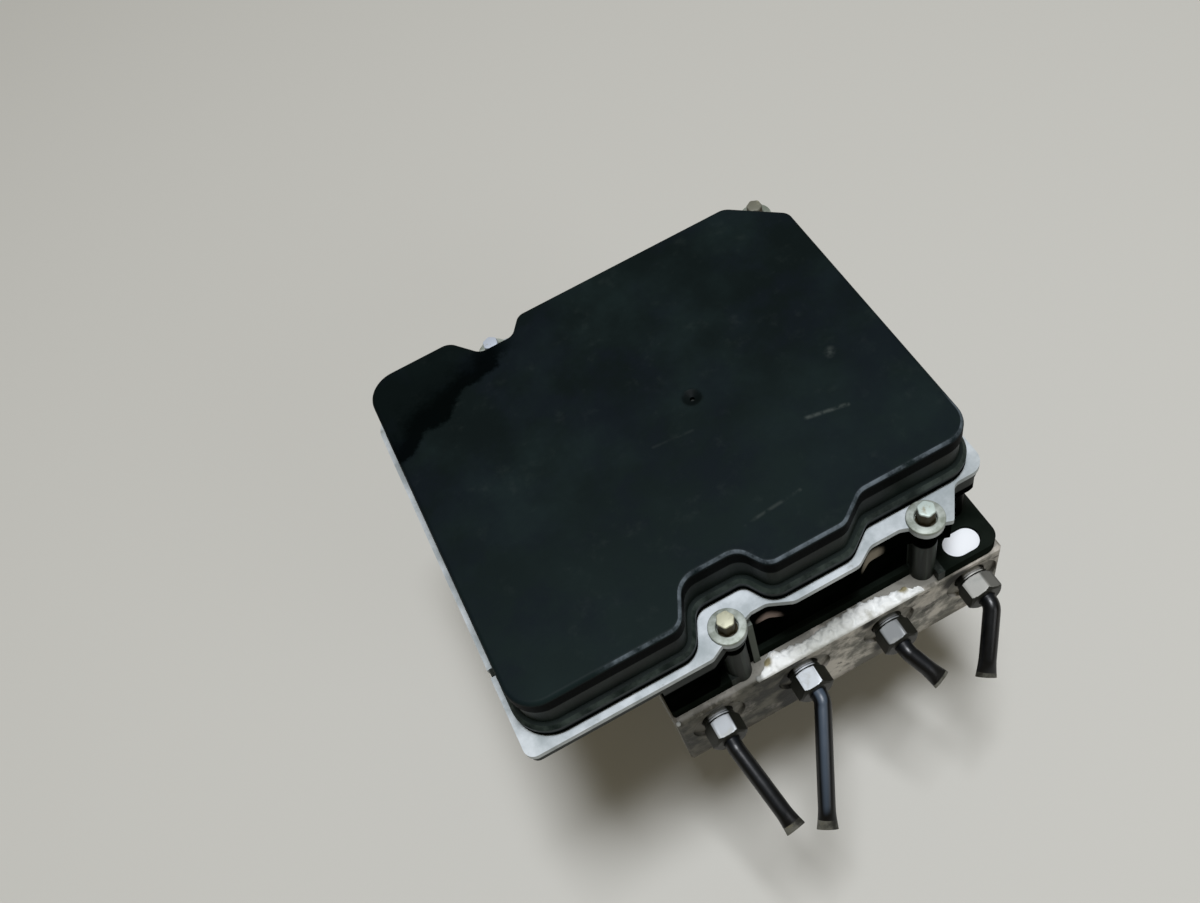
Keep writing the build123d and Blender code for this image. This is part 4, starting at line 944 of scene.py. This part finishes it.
def screw_posts():
    """Long screws with a six-lobed, flat-topped post."""
    mesh = bmesh.new()
    top = SCREW_TOP - SCREW_SEAT
    profile = [(SCREW_FOOT - SCREW_SEAT, SHANK_RADIUS), (0.0, SHANK_RADIUS)]
    profile += [(0.0, FLANGE_RADIUS), (0.9, FLANGE_RADIUS), (1.1, POST_RADIUS), (1.15, POST_RADIUS)]
    profile += [(top - 0.3, POST_RADIUS), (top - 0.08, POST_RADIUS - 0.13), (top, POST_RADIUS - 0.4)]
    for number, (x, y) in enumerate(BOSSES):
        across = (1, 0.2 * number, 0)
        turned(mesh, (x, y, SCREW_SEAT), (0, 0, 1), across, profile, ROUND_SEGMENTS, (True, True), lobes)
    piece = finish_piece("screw_posts", mesh, [LOOKS["screw_zinc"]], "screw_zinc", "ecu_screws")
    shade(piece, 30.0)


def bush_rings():
    """Turned bushes in the plate, with a rounded rim and a counterbore."""
    mesh = bmesh.new()
    top = BUSH_TOP - HOUSING_TOP
    rim = BUSH_RIM_RADIUS
    sheet = PLATE_TOP - HOUSING_TOP
    profile = [(0.0, BUSH_BORE), (0.0, BUSH_BODY), (sheet, BUSH_BODY), (sheet, rim - 0.15)]
    profile += [(sheet + 0.12, rim), (top - 0.3, rim), (top - 0.08, rim - 0.15), (top, rim - 0.4)]
    profile += [(top, BUSH_COUNTERBORE + 0.25), (top - 0.25, BUSH_COUNTERBORE)]
    profile += [(0.8, BUSH_COUNTERBORE), (0.8, BUSH_BORE)]
    for x, y in BOSSES:
        place = (x, y, HOUSING_TOP)
        rings = turned(mesh, place, (0, 0, 1), (1, 0, 0), profile, ROUND_SEGMENTS, (False, False))
        bridge(mesh, rings[-1], rings[0])
    piece = finish_piece("bush_rings", mesh, [LOOKS["bush_metal"]], "bush_metal", "screw_bushes")
    shade(piece, 30.0)


# Corrosion on the bare strip of the block's top

CRUST_COLUMNS = 180
CRUST_ROWS = 22
CRUST_DEPTH = 7.2
CRUST_SINK = 0.5
# Back edge: x, y
CRUST_BACK = (
    (-27.0, -78.0), (-24.0, -76.0), (-20.5, -72.3), (-16.0, -74.0), (-8.0, -74.6),
    (-2.0, -73.3), (10.0, -72.8), (16.0, -74.3), (22.0, -75.0), (27.0, -77.6),
)
# Lumps: x, y, radius
CRUST_LUMPS = (
    (9.3, -75.2, 3.0), (-19.3, -75.6, 3.2), (-14.0, -76.6, 2.2), (-8.5, -76.9, 1.8),
    (-3.0, -76.2, 2.2), (3.0, -76.0, 2.2), (15.5, -76.6, 2.2), (20.5, -77.0, 1.8),
)
# Loose crumbs that stand as painted glints: x, y, radius
GLINT_CRUMBS = ((-26.5, -77.9, 0.9), (-52.4, -78.1, 0.7))


def crust_back(x):
    """How far back the crust reaches at a place along the block, with a ragged edge."""
    for (x0, y0), (x1, y1) in zip(CRUST_BACK, CRUST_BACK[1:]):
        if x <= x1:
            break
    plain = y0 + (y1 - y0) * (x - x0) / (x1 - x0)
    broad = noise.noise(Vector((x * 0.6, 7.0, 1.0)))
    fine = noise.noise(Vector((x * 1.9, 3.0, 1.0)))
    return min(plain + (0.9 * broad + 0.4 * fine), BLOCK_FRONT + CRUST_DEPTH)


def crust_height(x, y, rim):
    """Height of the crust over the block, thinning out to its rim."""
    here = Vector((x * 0.55, y * 0.55, 3.0))
    lump = noise.noise(here) * 0.5 + noise.noise(here * 2.2) * 0.35
    for lump_x, lump_y, radius in CRUST_LUMPS:
        gap = math.hypot(x - lump_x, y - lump_y) / radius
        lump += 0.9 * max(0.0, 1.0 - gap * gap)
    return max(0.25, 0.8 + lump) * rim * (2 - rim) - 0.1


def crust_skin(mesh):
    """Lumpy top skin of the crust. Returns its columns of vertices."""
    left, right = CRUST_BACK[0][0], CRUST_BACK[-1][0]
    front = BLOCK_FRONT + 0.05
    grid = []
    for i in range(CRUST_COLUMNS + 1):
        x = left + (right - left) * i / CRUST_COLUMNS
        back = crust_back(x)
        line = []
        for j in range(CRUST_ROWS + 1):
            share = j / CRUST_ROWS
            y = front + (back - front) * share
            rim = min(1.0, min(i, CRUST_COLUMNS - i) / 8, share * 9, (1 - share) * 5)
            z = BLOCK_TOP + crust_height(x, y, rim)
            line.append(mesh.verts.new((x * MM, y * MM, z * MM)))
        grid.append(line)
    for first, second in zip(grid, grid[1:]):
        for j in range(CRUST_ROWS):
            mesh.faces.new((first[j], second[j], second[j + 1], first[j + 1]))
    return grid


def close_below(mesh, grid):
    """Side walls from the skin's rim down into the block, and a flat underside."""
    rim = [line[0] for line in grid[:-1]] + grid[-1]
    rim += [line[-1] for line in reversed(grid[1:-1])] + list(reversed(grid[0][1:]))
    foot = [mesh.verts.new((vertex.co.x, vertex.co.y, (BLOCK_TOP - CRUST_SINK) * MM)) for vertex in rim]
    bridge(mesh, rim, foot)
    mesh.faces.new(foot)


def corrosion_crust():
    """Lumpy white crust on the bare strip of the block's top, in front of the housing, with two loose
    crumbs as painted glints.
    """
    mesh = bmesh.new()
    close_below(mesh, crust_skin(mesh))
    for x, y, radius in GLINT_CRUMBS:
        seat = Matrix.Translation(Vector((x, y, BLOCK_TOP)) * MM)
        bmesh.ops.create_icosphere(mesh, subdivisions=3, radius=radius * MM, matrix=seat)
    piece = finish_piece("corrosion_crust", mesh, [CRUST], "block_aluminium")
    shade(piece, 60.0)


# Stage and light

FLOOR_HALF_WIDTH = 3.0
WORLD_LEVEL = 0.13
BACKDROP_LEVEL = 0.95
WORLD_LIGHT = (1.0, 0.85, 0.5, 1.0)
BACKDROP = (0.93, 0.97, 1.0, 1.0)
LAMP_TARGET = (0.0, -0.02, 0.1)


def stage():
    """Pale floor under the unit."""
    mesh = bmesh.new()
    bmesh.ops.create_grid(mesh, x_segments=1, y_segments=1, size=FLOOR_HALF_WIDTH)
    data = bpy.data.meshes.new("floor")
    mesh.to_mesh(data)
    mesh.free()
    floor = bpy.data.objects.new("floor", data)
    bpy.context.scene.collection.objects.link(floor)
    data.materials.append(floor_grey())


def world_light():
    """Even warm surroundings, which the camera sees as a plain pale backdrop."""
    world = bpy.data.worlds.new("pale_room")
    bpy.context.scene.world = world
    world.use_nodes = True
    tree = world.node_tree
    tree.nodes.clear()
    path = add(tree, "ShaderNodeLightPath").outputs
    seen = larger(tree, path["Is Camera Ray"], path["Is Transmission Ray"])
    strength = plus(tree, WORLD_LEVEL, times(tree, seen, BACKDROP_LEVEL - WORLD_LEVEL))
    colour = blend(tree, seen, WORLD_LIGHT, BACKDROP)
    shader = add(tree, "ShaderNodeBackground", Color=colour, Strength=strength)
    out = add(tree, "ShaderNodeOutputWorld")
    tree.links.new(shader.outputs[0], out.inputs[0])


def lamp(name, place, size, power, colour):
    """Square soft lamp that faces the unit."""
    data = bpy.data.lights.new(name, "AREA")
    data.shape = "SQUARE"
    data.size = size
    data.energy = power
    data.color = colour
    made = bpy.data.objects.new(name, data)
    bpy.context.scene.collection.objects.link(made)
    made.location = place
    made.rotation_euler = (Vector(LAMP_TARGET) - Vector(place)).to_track_quat("-Z", "Y").to_euler()


def photo_camera():
    """Camera at the photo's place."""
    data = bpy.data.cameras.new("photo_camera")
    data.lens = CAMERA_LENS
    data.sensor_width = CAMERA_SENSOR
    camera = bpy.data.objects.new("photo_camera", data)
    bpy.context.scene.collection.objects.link(camera)
    right, down, forward = Vector(CAMERA_RIGHT), Vector(CAMERA_DOWN), Vector(CAMERA_FORWARD)
    turn = Matrix((right, -down, -forward)).transposed().to_4x4()
    turn.translation = Vector(CAMERA_PLACE)
    camera.matrix_world = turn
    bpy.context.scene.camera = camera


dress_cad_nodes()
tube_nuts()
brake_pipes()
bush_rings()
screw_posts()
corrosion_crust()
stage()
world_light()
lamp("key_above", (0.05, -0.16, 2.0), size=0.5, power=34.0, colour=(0.96, 0.985, 1.04))
lamp("front_fill", (0.35, -0.8, 0.6), size=0.4, power=1.1, colour=(0.965, 0.985, 1.03))
photo_camera()
bpy.context.scene.view_settings.view_transform = "Standard"
